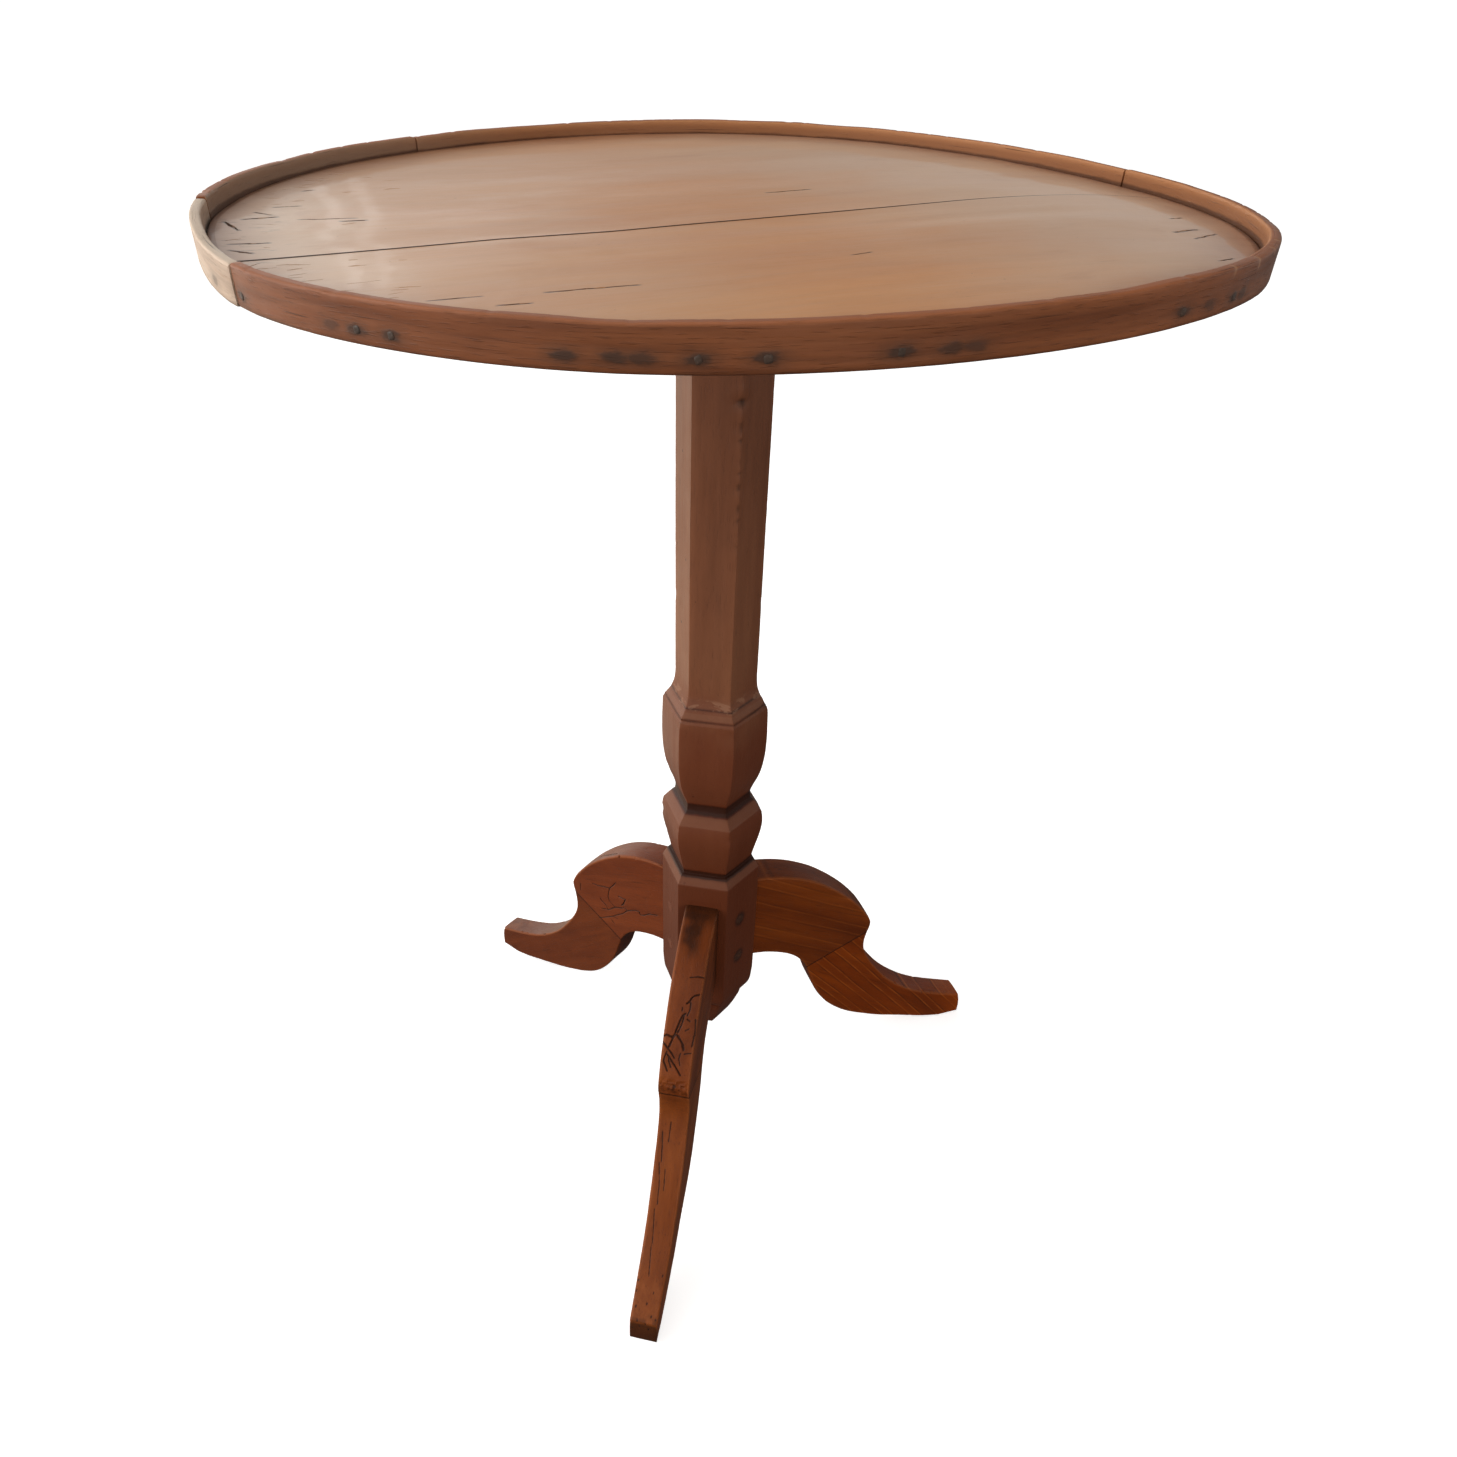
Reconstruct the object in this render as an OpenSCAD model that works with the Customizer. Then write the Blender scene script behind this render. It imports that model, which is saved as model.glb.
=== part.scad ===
// Round tilt-top table on a six-sided column with three cabriole legs.
// Millimetres. +Z is up and the origin is on the floor under the column's axis.
// +X runs along the grain of the top and along the tilt axis; the top tilts
// so that its surface turns to face -Y.

/* [Top] */
// Overall height, floor to the upper edge of the rim
table_h = 720; // [700:1:740]
// Outside radius of the rim
top_r = 263; // [257:1:270]
// Thickness of the two boards in the middle
board_t = 16; // [14:0.5:18]
// Height of the rim strip
rim_h = 16.6; // [15:0.1:18]
// Thickness of the rim strip
rim_t = 5; // [4:0.25:6]
// How far the rim stands above the boards
rim_lip = 9; // [8:0.5:9.5]
// Width of the bevel under the edge of the boards
bevel_w = 45; // [35:1:60]
// Distance of the seam between the boards in front of the centre
seam_off = 40; // [38:1:60]
// Skew of the seam to the tilt axis, degrees
seam_skew = 2.4; // [0:0.1:4]

/* [Rim] */
// Angles at which the strips of the rim butt together
rim_joints = [-160, 3, 121, 173];
// Angles of the nails that hold the rim
nail_az = [-165.5, -158.5, -141.5, -137.9, -123, -119.3, -113.1, -108.1, -98.4, -71.6, -62.9, -40, -22, -4, 11, 28, 48, 68, 88, 112, 134, 152, 168, 178];
// Radius of a nail's head
nail_head_r = 2.3; // [1.8:0.1:2.6]
// Radius of a nail's shank
nail_r = 1.1; // [0.8:0.1:1.4]
// Length of a nail
nail_l = 20; // [16:1:24]

/* [Column] */
// Corner radius of the six-sided shaft at its top
shaft_r = 28.6; // [27:0.1:30]
// Corner radius of the six-sided hub that takes the legs
hub_r = 38.2; // [37:0.1:40]
// Radius of the round tenon at the column's top
tenon_r = 17; // [15:0.5:18]

/* [Legs] */
// Leg thickness at the hub
leg_t0 = 26; // [24:0.5:28]
// Leg thickness at the toe
leg_t1 = 20.5; // [18:0.5:23]
// Distance of the toes from the column's axis
toe_r = 255; // [250:1:258]
// Small angles by which the legs miss exact thirds: front, left, right
leg_miss = [0, 3, -1.5];
// Thickness of the leg tenons
leg_tenon_t = 10; // [8:0.5:12]
// Radius of the pegs through the leg tenons
peg_r = 4; // [3:0.25:4.5]

/* [Pivot] */
// Length of the pivot block, end to end along the tilt axis
block_l = 76; // [70:1:84]
// Distance of the tilt axis in front of the column's axis
pivot_y = 27; // [25:0.5:30]
// Distance of the tilt axis under the boards
pivot_d = 13; // [12.8:0.1:14]
// Trunnion radius
trunnion_r = 7; // [6:0.1:7.5]
// Radial clearance of every running fit
run_gap = 0.05; // [0.02:0.01:0.09]
// Batten width
batten_w = 22; // [20:1:26]
// Batten depth
batten_h = 28; // [26:0.5:28]
// Batten half length
batten_l = 165; // [150:1:170]

/* [Latch] */
// Radius of the sliding bolt
bolt_r = 4; // [3:0.1:4.2]
// Travel of the sliding bolt
bolt_travel = 10; // [8:0.5:10]

/* [Hidden] */
$fn = 96;
rim_top = table_h;
rim_bot = table_h - rim_h;
deck = table_h - rim_lip;            // upper face of the boards
under = deck - board_t;              // lower face of the boards
board_r = top_r - rim_t;
edge_z = rim_bot + 0.2;              // lower edge of the bevelled boards
pz = under - pivot_d;                // tilt axis height
py = -pivot_y;
block_top = under - 0.2;
block_bot = under - 34;
shoulder = block_bot;                // column shoulder under the block
bolt_z = under - 7.5;
LEG_AZ = [-120 + leg_miss[0], 120 + leg_miss[1], 0 + leg_miss[2]];
nail_z = deck - 2.2;
screw_y = [-120, 30, 120];
root_hi = 224;
root_lo = 160;
peg_rho = 18;
peg_z = [212, 170];

WOOD_TOP = [0.66, 0.47, 0.35];
WOOD_RIM = [0.44, 0.26, 0.16];
WOOD_PALE = [0.60, 0.46, 0.36];
WOOD_COL = [0.42, 0.24, 0.16];
WOOD_LEG = [0.45, 0.22, 0.10];
WOOD_RAW = [0.56, 0.42, 0.28];
IRON = [0.20, 0.18, 0.17];

// smooth curve through hand-placed points
function cr(a, b, c, d, t) = 0.5 * ((2 * b) + (c - a) * t + (2 * a - 5 * b + 4 * c - d) * t * t + (3 * b - a - 3 * c + d) * t * t * t);
function spline(P, n) = [for (i = [0 : len(P) - 2]) for (j = [0 : n - 1])
    cr(P[max(i - 1, 0)], P[i], P[i + 1], P[min(i + 2, len(P) - 1)], j / n), P[len(P) - 1]];
function flip(P) = [for (i = [len(P) - 1 : -1 : 0]) [-P[i][0], P[i][1]]];

// corner radius against height of the six-sided column, from the drop upward
drop_curve = spline([[6, 70], [11, 73], [17, 80], [22, 89.5], [26, 99.5], [28.5, 107], [29.5, 112.5]], 3);
foot_curve = spline([[31, 115.5], [34.5, 119.5], [37, 127], [hub_r, 141]], 3);
bead_curve = spline([[31.7, 264.5], [33.6, 273], [36, 283], [37.9, 292], [38.6, 300], [38, 307], [36.4, 313.5]], 3);
bulb_curve = spline([[28, 326], [29.3, 330.5], [32.2, 337.5], [35.4, 347.5], [37.4, 361], [38, 378], [37.3, 402]], 3);
cove_curve = spline([[35.9, 405.5], [33.4, 408], [31, 412], [29.3, 417], [28.3, 425]], 3);
col_prof = concat(drop_curve, [[29.5, 115.5]], foot_curve, [[hub_r, 253.5], [34, 261.5], [31.7, 262]],
    bead_curve, [[30.5, 319.8], [28.4, 321.5]], bulb_curve, [[35.9, 403.2]], cove_curve, [[shaft_r, shoulder]]);

// side outline of a leg: distance from the axis against height
leg_top = spline([[20, 234.5], [33, 234], [47, 232], [61, 228.5], [74, 223.5], [88, 216], [101, 206.5], [113, 196], [125, 183.5], [136, 169], [143, 157.5]], 3);
leg_brow = spline([[144.2, 154], [143.6, 149], [141.9, 142.5], [140.4, 132], [142, 119.5], [148.5, 105], [158, 90], [169, 75], [183, 61], [202, 46.5], [225, 34.5], [252.5, 23]], 3);
leg_under = spline([[235, 0], [229, 1.5], [216, 5.5], [200, 11.5], [184, 17.5], [168, 23.5], [152, 31], [137, 39], [124, 48.5], [112, 61], [101.5, 77], [94.5, 93], [90, 108], [85, 120.5], [78, 130.5], [69, 138], [58, 143.5], [46, 147.5], [33, 149.5], [20, 150]], 3);
leg_prof = concat(leg_top, leg_brow, [[toe_r - 0.5, 14], [toe_r, 2], [toe_r - 1, 0]], leg_under);

// ---- shared shapes ----

module hex_stack(P) {
    Q = [for (p = P) [p[0] * cos(30), p[1]]];
    intersection_for(a = [0, 60, 120]) rotate([0, 0, a]) rotate([90, 0, 0])
        linear_extrude(height = 120, center = true) polygon(concat(Q, flip(Q)));
}

module hub_prism(r, z0, z1) { translate([0, 0, z0]) rotate([0, 0, 30]) cylinder(r = r, h = z1 - z0, $fn = 6); }

module leg_tenon(az, rho0 = 13) {
    rotate([0, 0, az]) translate([rho0, -leg_tenon_t / 2, root_lo]) cube([42 - rho0, leg_tenon_t, root_hi - root_lo]);
}

module leg_pegs_at(az) {
    rotate([0, 0, az]) for (z = peg_z) translate([peg_rho, -12, z]) rotate([-90, 0, 0]) cylinder(r = peg_r, h = 60);
}

// leg seen from the side, at the given taper in plan
module leg_blank() {
    intersection() {
        rotate([90, 0, 0]) linear_extrude(height = 40, center = true) polygon(leg_prof);
        linear_extrude(height = 260) polygon([[18, leg_t0 / 2], [18, -leg_t0 / 2], [toe_r + 2, -leg_t1 / 2], [toe_r + 2, leg_t1 / 2]]);
    }
}

// side of the glue line that belongs to the foot
module below_glue() {
    rotate([90, 0, 0]) linear_extrude(height = 60, center = true)
        polygon([[28, 87], [88, 116.5], [142, 143.5], [300, 222], [300, -20], [28, -20]]);
}

module leg_knee(az) {
    color(WOOD_LEG) difference() {
        union() {
            difference() {
                rotate([0, 0, az]) difference() { leg_blank(); below_glue(); }
                hub_prism(hub_r, 100, 260);
            }
            leg_tenon(az);
        }
        leg_pegs_at(az);
    }
}

module leg_foot(az) {
    color(WOOD_LEG) rotate([0, 0, az]) intersection() { leg_blank(); below_glue(); }
}

module disc() {
    rotate_extrude() polygon([[0, under], [board_r - bevel_w, under], [board_r, edge_z], [board_r, deck], [0, deck]]);
}

module sector(a0, a1) {
    n = ceil((a1 - a0) / 20);
    translate([0, 0, rim_bot - 5]) linear_extrude(height = rim_h + 10)
        polygon(concat([[0, 0]], [for (i = [0 : n]) let (a = a0 + (a1 - a0) * i / n) [330 * cos(a), 330 * sin(a)]]));
}

module nail_shapes(extra = 0) {
    for (a = nail_az) rotate([0, 0, a]) {
        translate([top_r - 0.3 - nail_l, 0, nail_z]) rotate([0, 90, 0]) cylinder(r = nail_r, h = nail_l - 1);
        translate([top_r - 1.6, 0, nail_z]) rotate([0, 90, 0]) cylinder(r = nail_head_r, h = 1.3 + extra, $fn = 32);
    }
}

module rim_strip(a0, a1) {
    difference() {
        intersection() {
            rotate_extrude($fn = 180) polygon([[board_r, rim_bot], [top_r - 0.8, rim_bot], [top_r, rim_bot + 0.8],
                [top_r, rim_top - 1.4], [top_r - 1.2, rim_top], [board_r + 1.2, rim_top], [board_r, rim_top - 1.4]]);
            sector(a0 + 0.02, a1 - 0.02);
        }
        nail_shapes(3);
    }
}

// half plane in front of the seam
module seam_front() {
    translate([0, -seam_off, 0]) rotate([0, 0, seam_skew]) translate([-300, -400, under - 5]) cube([600, 400, 40]);
}

module dowel_shapes() {
    translate([0, -seam_off, 0]) rotate([0, 0, seam_skew]) for (x = [-180, -62, 62, 180])
        translate([x, -22, (under + deck) / 2]) rotate([-90, 0, 0]) cylinder(r = 4, h = 44);
}

module batten_screw_shapes() {
    for (s = [-1, 1], y = screw_y) translate([s * (block_l / 2 + 0.4 + batten_w / 2), y, 0]) {
        translate([0, 0, under - 12]) cylinder(r = 2.2, h = 22);
        translate([0, 0, under - 15]) cylinder(r = 4.5, h = 3);
    }
}

module batten_screw_access() {
    for (s = [-1, 1], y = screw_y) translate([s * (block_l / 2 + 0.4 + batten_w / 2), y, under - 60]) cylinder(r = 4.5, h = 46);
}

module plate_screw_shapes() {
    for (x = [-10, 10], y = [64, 78]) translate([x, y, 0]) {
        translate([0, 0, under - 2]) cylinder(r = 2.6, h = 1.2);
        translate([0, 0, under - 1]) cylinder(r = 1.2, h = 11);
    }
}

module keeper_screw_shapes() {
    for (x = [-9, 9]) translate([x, 0, under - 20]) rotate([-90, 0, 0]) {
        translate([0, 0, 36.8]) cylinder(r = 2.6, h = 1.2);
        translate([0, 0, 24]) cylinder(r = 1.2, h = 13);
    }
}

// ---- pedestal ----

module column() {
    color(WOOD_COL) difference() {
        union() {
            hex_stack(col_prof);
            translate([0, 0, shoulder - 1]) cylinder(r = tenon_r, h = block_top - shoulder + 1);
        }
        tenon_wedge_shape();
        for (az = LEG_AZ) { leg_tenon(az); leg_pegs_at(az); }
    }
}

module tenon_wedge_shape() {
    rotate([90, 0, 0]) linear_extrude(height = 32, center = true)
        polygon([[-1.6, block_top], [1.6, block_top], [0.6, block_top - 23], [-0.6, block_top - 23]]);
}

module tenon_wedge() { color(WOOD_RAW) tenon_wedge_shape(); }

module pivot_block() {
    rr = pivot_d - 0.6;
    color(WOOD_RAW) difference() {
        union() {
            translate([-block_l / 2, py - rr, block_bot]) cube([block_l, rr, pz - block_bot]);
            translate([-block_l / 2, py, block_bot]) cube([block_l, 36 - py, block_top - block_bot]);
            translate([-block_l / 2, py, pz]) rotate([0, 90, 0]) cylinder(r = rr, h = block_l);
            translate([-block_l / 2 - batten_w, py, pz]) rotate([0, 90, 0]) cylinder(r = trunnion_r, h = block_l + 2 * batten_w);
        }
        translate([0, 0, block_bot - 1]) cylinder(r = tenon_r, h = 60);
        translate([0, 28, bolt_z]) rotate([-90, 0, 0]) cylinder(r = bolt_r + 1, h = 20);
        keeper_screw_shapes();
    }
}

module front_leg_knee() { leg_knee(LEG_AZ[0]); }
module front_leg_foot() { leg_foot(LEG_AZ[0]); }
module left_leg_knee() { leg_knee(LEG_AZ[1]); }
module left_leg_foot() { leg_foot(LEG_AZ[1]); }
module right_leg_knee() { leg_knee(LEG_AZ[2]); }
module right_leg_foot() { leg_foot(LEG_AZ[2]); }

module leg_pegs() {
    color(WOOD_RAW) intersection() {
        union() for (az = LEG_AZ) leg_pegs_at(az);
        hub_prism(hub_r, 120, 250);
    }
}

module keeper_plate() {
    color(IRON) difference() {
        translate([-14, 36, under - 26]) cube([28, 2, 25]);
        translate([0, 30, bolt_z]) rotate([-90, 0, 0]) cylinder(r = bolt_r + 0.6, h = 20);
        keeper_screw_shapes();
    }
}

module keeper_screws() {
    color(IRON) difference() {
        keeper_screw_shapes();
        for (x = [-9, 9]) translate([x - 3, 37.4, under - 20.4]) cube([6, 2, 0.8]);
    }
}

// ---- top ----

module front_board() {
    color(WOOD_TOP) difference() {
        intersection() { disc(); seam_front(); }
        dowel_shapes(); nail_shapes(); batten_screw_shapes(); plate_screw_shapes();
    }
}

module rear_board() {
    color(WOOD_TOP) difference() {
        disc(); seam_front();
        dowel_shapes(); nail_shapes(); batten_screw_shapes(); plate_screw_shapes();
    }
}

module seam_dowels() { color(WOOD_RAW) dowel_shapes(); }

module rim_front() { color(WOOD_RIM) rim_strip(rim_joints[0], rim_joints[1]); }
module rim_rear() { color(WOOD_RIM) rim_strip(rim_joints[1], rim_joints[2]); }
module rim_left() { color(WOOD_RIM) rim_strip(rim_joints[2], rim_joints[3]); }
module rim_patch() { color(WOOD_PALE) rim_strip(rim_joints[3], rim_joints[0] + 360); }
module rim_nails() { color(IRON) nail_shapes(); }

module batten(s) {
    w0 = block_l / 2 + 0.4;
    color(WOOD_RAW) difference() {
        translate([s > 0 ? w0 : -w0 - batten_w, 0, 0]) rotate([90, 0, 90]) linear_extrude(height = batten_w)
            polygon([[-batten_l, under], [-batten_l, under - 11], [-batten_l + 6, under - 14], [-110, under - batten_h], [110, under - batten_h],
                [batten_l - 6, under - 14], [batten_l, under - 11], [batten_l, under]]);
        translate([-100, py, pz]) rotate([0, 90, 0]) cylinder(r = trunnion_r + run_gap, h = 200);
        batten_screw_shapes();
        batten_screw_access();
    }
}

module left_batten() { batten(-1); }
module right_batten() { batten(1); }

module batten_screws() {
    color(IRON) difference() {
        batten_screw_shapes();
        for (s = [-1, 1], y = screw_y) translate([s * (block_l / 2 + 0.4 + batten_w / 2) - 5, y - 0.5, under - 16]) cube([10, 1, 2.2]);
    }
}

module bolt_plate() {
    color(IRON) difference() {
        union() {
            translate([-14, 46, under - 2]) cube([28, 50, 2]);
            for (y = [50, 84]) {
                translate([-7, y, bolt_z]) cube([14, 8, under - 2 - bolt_z]);
                translate([0, y, bolt_z]) rotate([-90, 0, 0]) cylinder(r = 7, h = 8);
            }
        }
        translate([0, 40, bolt_z]) rotate([-90, 0, 0]) cylinder(r = bolt_r + run_gap, h = 70);
        plate_screw_shapes();
    }
}

module bolt_plate_screws() {
    color(IRON) difference() {
        plate_screw_shapes();
        for (x = [-10, 10], y = [64, 78]) translate([x - 3, y - 0.4, under - 2.2]) cube([6, 0.8, 0.8]);
    }
}

// ---- bolt ----

module bolt_bar() {
    color(IRON) difference() {
        union() {
            translate([0, 42, bolt_z]) rotate([-90, 0, 0]) cylinder(r = bolt_r, h = 56);
            translate([0, 40.5, bolt_z]) rotate([-90, 0, 0]) cylinder(r1 = bolt_r - 1, r2 = bolt_r, h = 1.5);
        }
        translate([0, 71, bolt_z - 6]) cylinder(r = 2, h = 6);
    }
}

module bolt_knob() {
    color(IRON) translate([0, 71, 0]) union() {
        translate([0, 0, bolt_z - 8]) cylinder(r = 2, h = 8);
        translate([0, 0, bolt_z - 13.2]) sphere(r = 6, $fn = 48);
    }
}

column();
pivot_block();
tenon_wedge();
front_leg_knee();
front_leg_foot();
left_leg_knee();
left_leg_foot();
right_leg_knee();
right_leg_foot();
leg_pegs();
keeper_plate();
keeper_screws();
front_board();
rear_board();
seam_dowels();
rim_front();
rim_rear();
rim_left();
rim_patch();
rim_nails();
left_batten();
right_batten();
batten_screws();
bolt_plate();
bolt_plate_screws();
bolt_bar();
bolt_knob();
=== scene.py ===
import math

import bmesh
import bpy
import numpy as np
from mathutils import Matrix, Vector


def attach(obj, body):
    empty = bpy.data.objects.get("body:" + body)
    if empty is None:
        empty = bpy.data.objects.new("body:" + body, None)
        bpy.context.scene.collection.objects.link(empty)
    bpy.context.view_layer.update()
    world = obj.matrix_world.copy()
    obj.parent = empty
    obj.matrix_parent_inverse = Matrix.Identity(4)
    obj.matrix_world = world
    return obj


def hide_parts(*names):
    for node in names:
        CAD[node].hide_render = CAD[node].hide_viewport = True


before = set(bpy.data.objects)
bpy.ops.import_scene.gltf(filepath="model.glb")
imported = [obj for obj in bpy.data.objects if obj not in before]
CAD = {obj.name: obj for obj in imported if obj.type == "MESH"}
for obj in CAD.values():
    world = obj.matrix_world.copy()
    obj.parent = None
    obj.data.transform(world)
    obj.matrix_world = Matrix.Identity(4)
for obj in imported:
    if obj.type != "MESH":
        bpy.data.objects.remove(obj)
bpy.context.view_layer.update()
MM = 0.001


# ------------------------------------------------------------------ numbers

def srgb(r, g, b):
    def f(c):
        c /= 255.0
        return c / 12.92 if c <= 0.04045 else ((c + 0.055) / 1.055) ** 2.4
    return (f(r), f(g), f(b), 1.0)


def _hash(x, y, z, seed):
    n = (x * 73856093) ^ (y * 19349663) ^ (z * 83492791) ^ (seed * 2654435761 + 977)
    n = n & 0xFFFFFFFF
    n = ((n ^ (n >> 13)) * 1274126177) & 0xFFFFFFFF
    n = n ^ (n >> 16)
    n = (n * 668265263) & 0xFFFFFFFF
    n = n ^ (n >> 15)
    return n / 2147483648.0 - 1.0


def vnoise(p, seed=0):
    """Smooth value noise from -1 to 1 at points p, shape (..., 3)."""
    p = np.asarray(p, float)
    i = np.floor(p).astype(np.int64)
    f = p - i
    u = f * f * f * (f * (f * 6 - 15) + 10)
    out = 0.0
    for dx in (0, 1):
        for dy in (0, 1):
            for dz in (0, 1):
                w = ((u[..., 0] if dx else 1 - u[..., 0]) * (u[..., 1] if dy else 1 - u[..., 1])
                     * (u[..., 2] if dz else 1 - u[..., 2]))
                out = out + w * _hash(i[..., 0] + dx, i[..., 1] + dy, i[..., 2] + dz, seed)
    return out


def fbm(p, octaves=3, seed=0):
    p = np.asarray(p, float)
    out, a, s = 0.0, 1.0, 0.0
    for k in range(octaves):
        out = out + a * vnoise(p * 2.0 ** k + 11.3 * k, seed + k)
        s += a
        a *= 0.5
    return out / s


def sstep(a, b, x):
    t = np.clip((np.asarray(x, float) - a) / (b - a), 0, 1)
    return t * t * (3 - 2 * t)


def spline(P, n):
    P = [np.array(p, float) for p in P]
    out = []
    for i in range(len(P) - 1):
        a, b, c, d = P[max(i - 1, 0)], P[i], P[i + 1], P[min(i + 2, len(P) - 1)]
        for j in range(n):
            t = j / n
            out.append(0.5 * ((2 * b) + (c - a) * t + (2 * a - 5 * b + 4 * c - d) * t * t
                              + (3 * b - a - 3 * c + d) * t ** 3))
    out.append(P[-1])
    return np.array(out)


def arclen(P):
    return np.concatenate([[0], np.cumsum(np.hypot(*np.diff(P, axis=0).T))])


def along(P, L, s):
    return np.stack([np.interp(s, L, P[:, 0]), np.interp(s, L, P[:, 1])], -1)


# ------------------------------------------------------------------ the top's real shape

TOP_Z, DECK, UNDER, RIM_BOT = 720.0, 711.0, 695.0, 703.4
RIM_T = 5.0
AZ_T = np.array([-180, -170, -162, -153, -144, -128, -113, -99, -91, -82, -71, -64, -50, -38, -28, -20, -10,
                 0, 9, 26, 42, 58, 74, 90, 106, 123, 142, 160, 180], float)
DZ_T = np.array([4.6, 0.6, -2.2, -1.9, -2.0, -2.1, -2.3, -1.6, -1.4, -1.6, -2.3, -3.0, -6.0, -8.8, -9.6, -9.9, -10.1,
                 -9.8, -8.4, -4.8, -1.2, 1.9, 4.1, 5, 5.2, 5.2, 5.1, 4.9, 4.6], float)


def rim_radius(a):
    """Outside radius of the oval rim at an angle in radians."""
    return 263.0 - 7.0 * (1 + np.cos(a)) / 2


def warp(x, y, dish=True):
    """How far the old boards have moved up or down at a place in plan, in mm."""
    a = np.degrees(np.arctan2(y, x))
    e = np.zeros_like(a)
    for da, w in ((-6, 0.25), (0, 0.5), (6, 0.25)):
        e = e + w * np.interp((a + da + 180) % 360 - 180, AZ_T, DZ_T)
    r = np.hypot(x, y)
    t = np.clip((r - 110) / (258 - 110), 0, 1.04)
    dish = dish * np.interp(x, [-230, -130, -76, -20, 40, 110, 180], [0.2, 0.0, 0.9, 0.9, 0.9, 0.3, 0.0])
    return e * t ** 2.2 - dish * np.exp(-((y + 42) / 70) ** 2)


def deck_lift(x, y, front=False):
    """The rear board has cupped a little towards the rim and stands proud of the front one along the seam."""
    t = np.clip((y - 40) / 170.0, 0, 1)
    yl = np.abs(y - x * math.tan(math.radians(2.4)) + 40)
    lip = np.exp(-(yl / 13.0) ** 1.5) * np.clip((170 - x) / 150.0, 0, 1)
    return 1.2 * t * t * (3 - 2 * t) + lip * np.where(front, -0.08, 0.16)


# ------------------------------------------------------------------ mesh helpers

def new_piece(name, body, material, verts=None, faces=None, bm=None, layers=None, angle=32, replaces=(), flat=False):
    me = bpy.data.meshes.new(name)
    if bm is not None:
        bm.to_mesh(me)
        bm.free()
    else:
        me.from_pydata([tuple(v) for v in np.asarray(verts, float) * MM], [], [tuple(int(i) for i in f) for f in faces])
    for key, val in (layers or {}).items():
        val = np.asarray(val, np.float32)
        if val.ndim == 2:
            at = me.attributes.new(key, "FLOAT_VECTOR", "POINT")
            at.data.foreach_set("vector", val.ravel())
        else:
            at = me.attributes.new(key, "FLOAT", "POINT")
            at.data.foreach_set("value", val.ravel())
    me.validate()
    me.polygons.foreach_set("use_smooth", [not flat] * len(me.polygons))
    if not flat:
        me.set_sharp_from_angle(angle=math.radians(angle))
    ob = bpy.data.objects.new(name, me)
    bpy.context.scene.collection.objects.link(ob)
    me.materials.append(material)
    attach(ob, body)
    if replaces:
        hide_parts(*replaces)
    return ob


def bm_from(verts, faces, layers=None):
    me = bpy.data.meshes.new("tmp")
    me.from_pydata([tuple(v) for v in np.asarray(verts, float) * MM], [], [tuple(int(i) for i in f) for f in faces])
    for key, val in (layers or {}).items():
        at = me.attributes.new(key, "FLOAT", "POINT")
        at.data.foreach_set("value", np.asarray(val, np.float32))
    bm = bmesh.new()
    bm.from_mesh(me)
    bpy.data.meshes.remove(me)
    bmesh.ops.recalc_face_normals(bm, faces=bm.faces)
    return bm


def cut(bm, co, no, bevel=0.0):
    """Removes what lies on the side that no points to, and closes the cut with a face."""
    geom = bm.verts[:] + bm.edges[:] + bm.faces[:]
    res = bmesh.ops.bisect_plane(bm, geom=geom, dist=1e-7, plane_co=Vector(co) * MM, plane_no=Vector(no), clear_outer=True)
    edges = [e for e in res["geom_cut"] if isinstance(e, bmesh.types.BMEdge)]
    before = set(bm.faces)
    bmesh.ops.contextual_create(bm, geom=edges)
    caps = [f for f in bm.faces if f not in before]
    bmesh.ops.recalc_face_normals(bm, faces=bm.faces)
    if bevel and caps:
        rim = list({e for f in caps for e in f.edges})
        bmesh.ops.bevel(bm, geom=rim, offset=bevel * MM, offset_type="OFFSET", segments=2, profile=0.5, affect="EDGES", clamp_overlap=True)
    return bm


def ring_faces(rows, cols, base=0, flip=False):
    f = []
    for i in range(rows - 1):
        for j in range(cols):
            k = (j + 1) % cols
            q = (base + i * cols + j, base + i * cols + k, base + (i + 1) * cols + k, base + (i + 1) * cols + j)
            f.append(q[::-1] if flip else q)
    return f


# ------------------------------------------------------------------ materials

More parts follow.
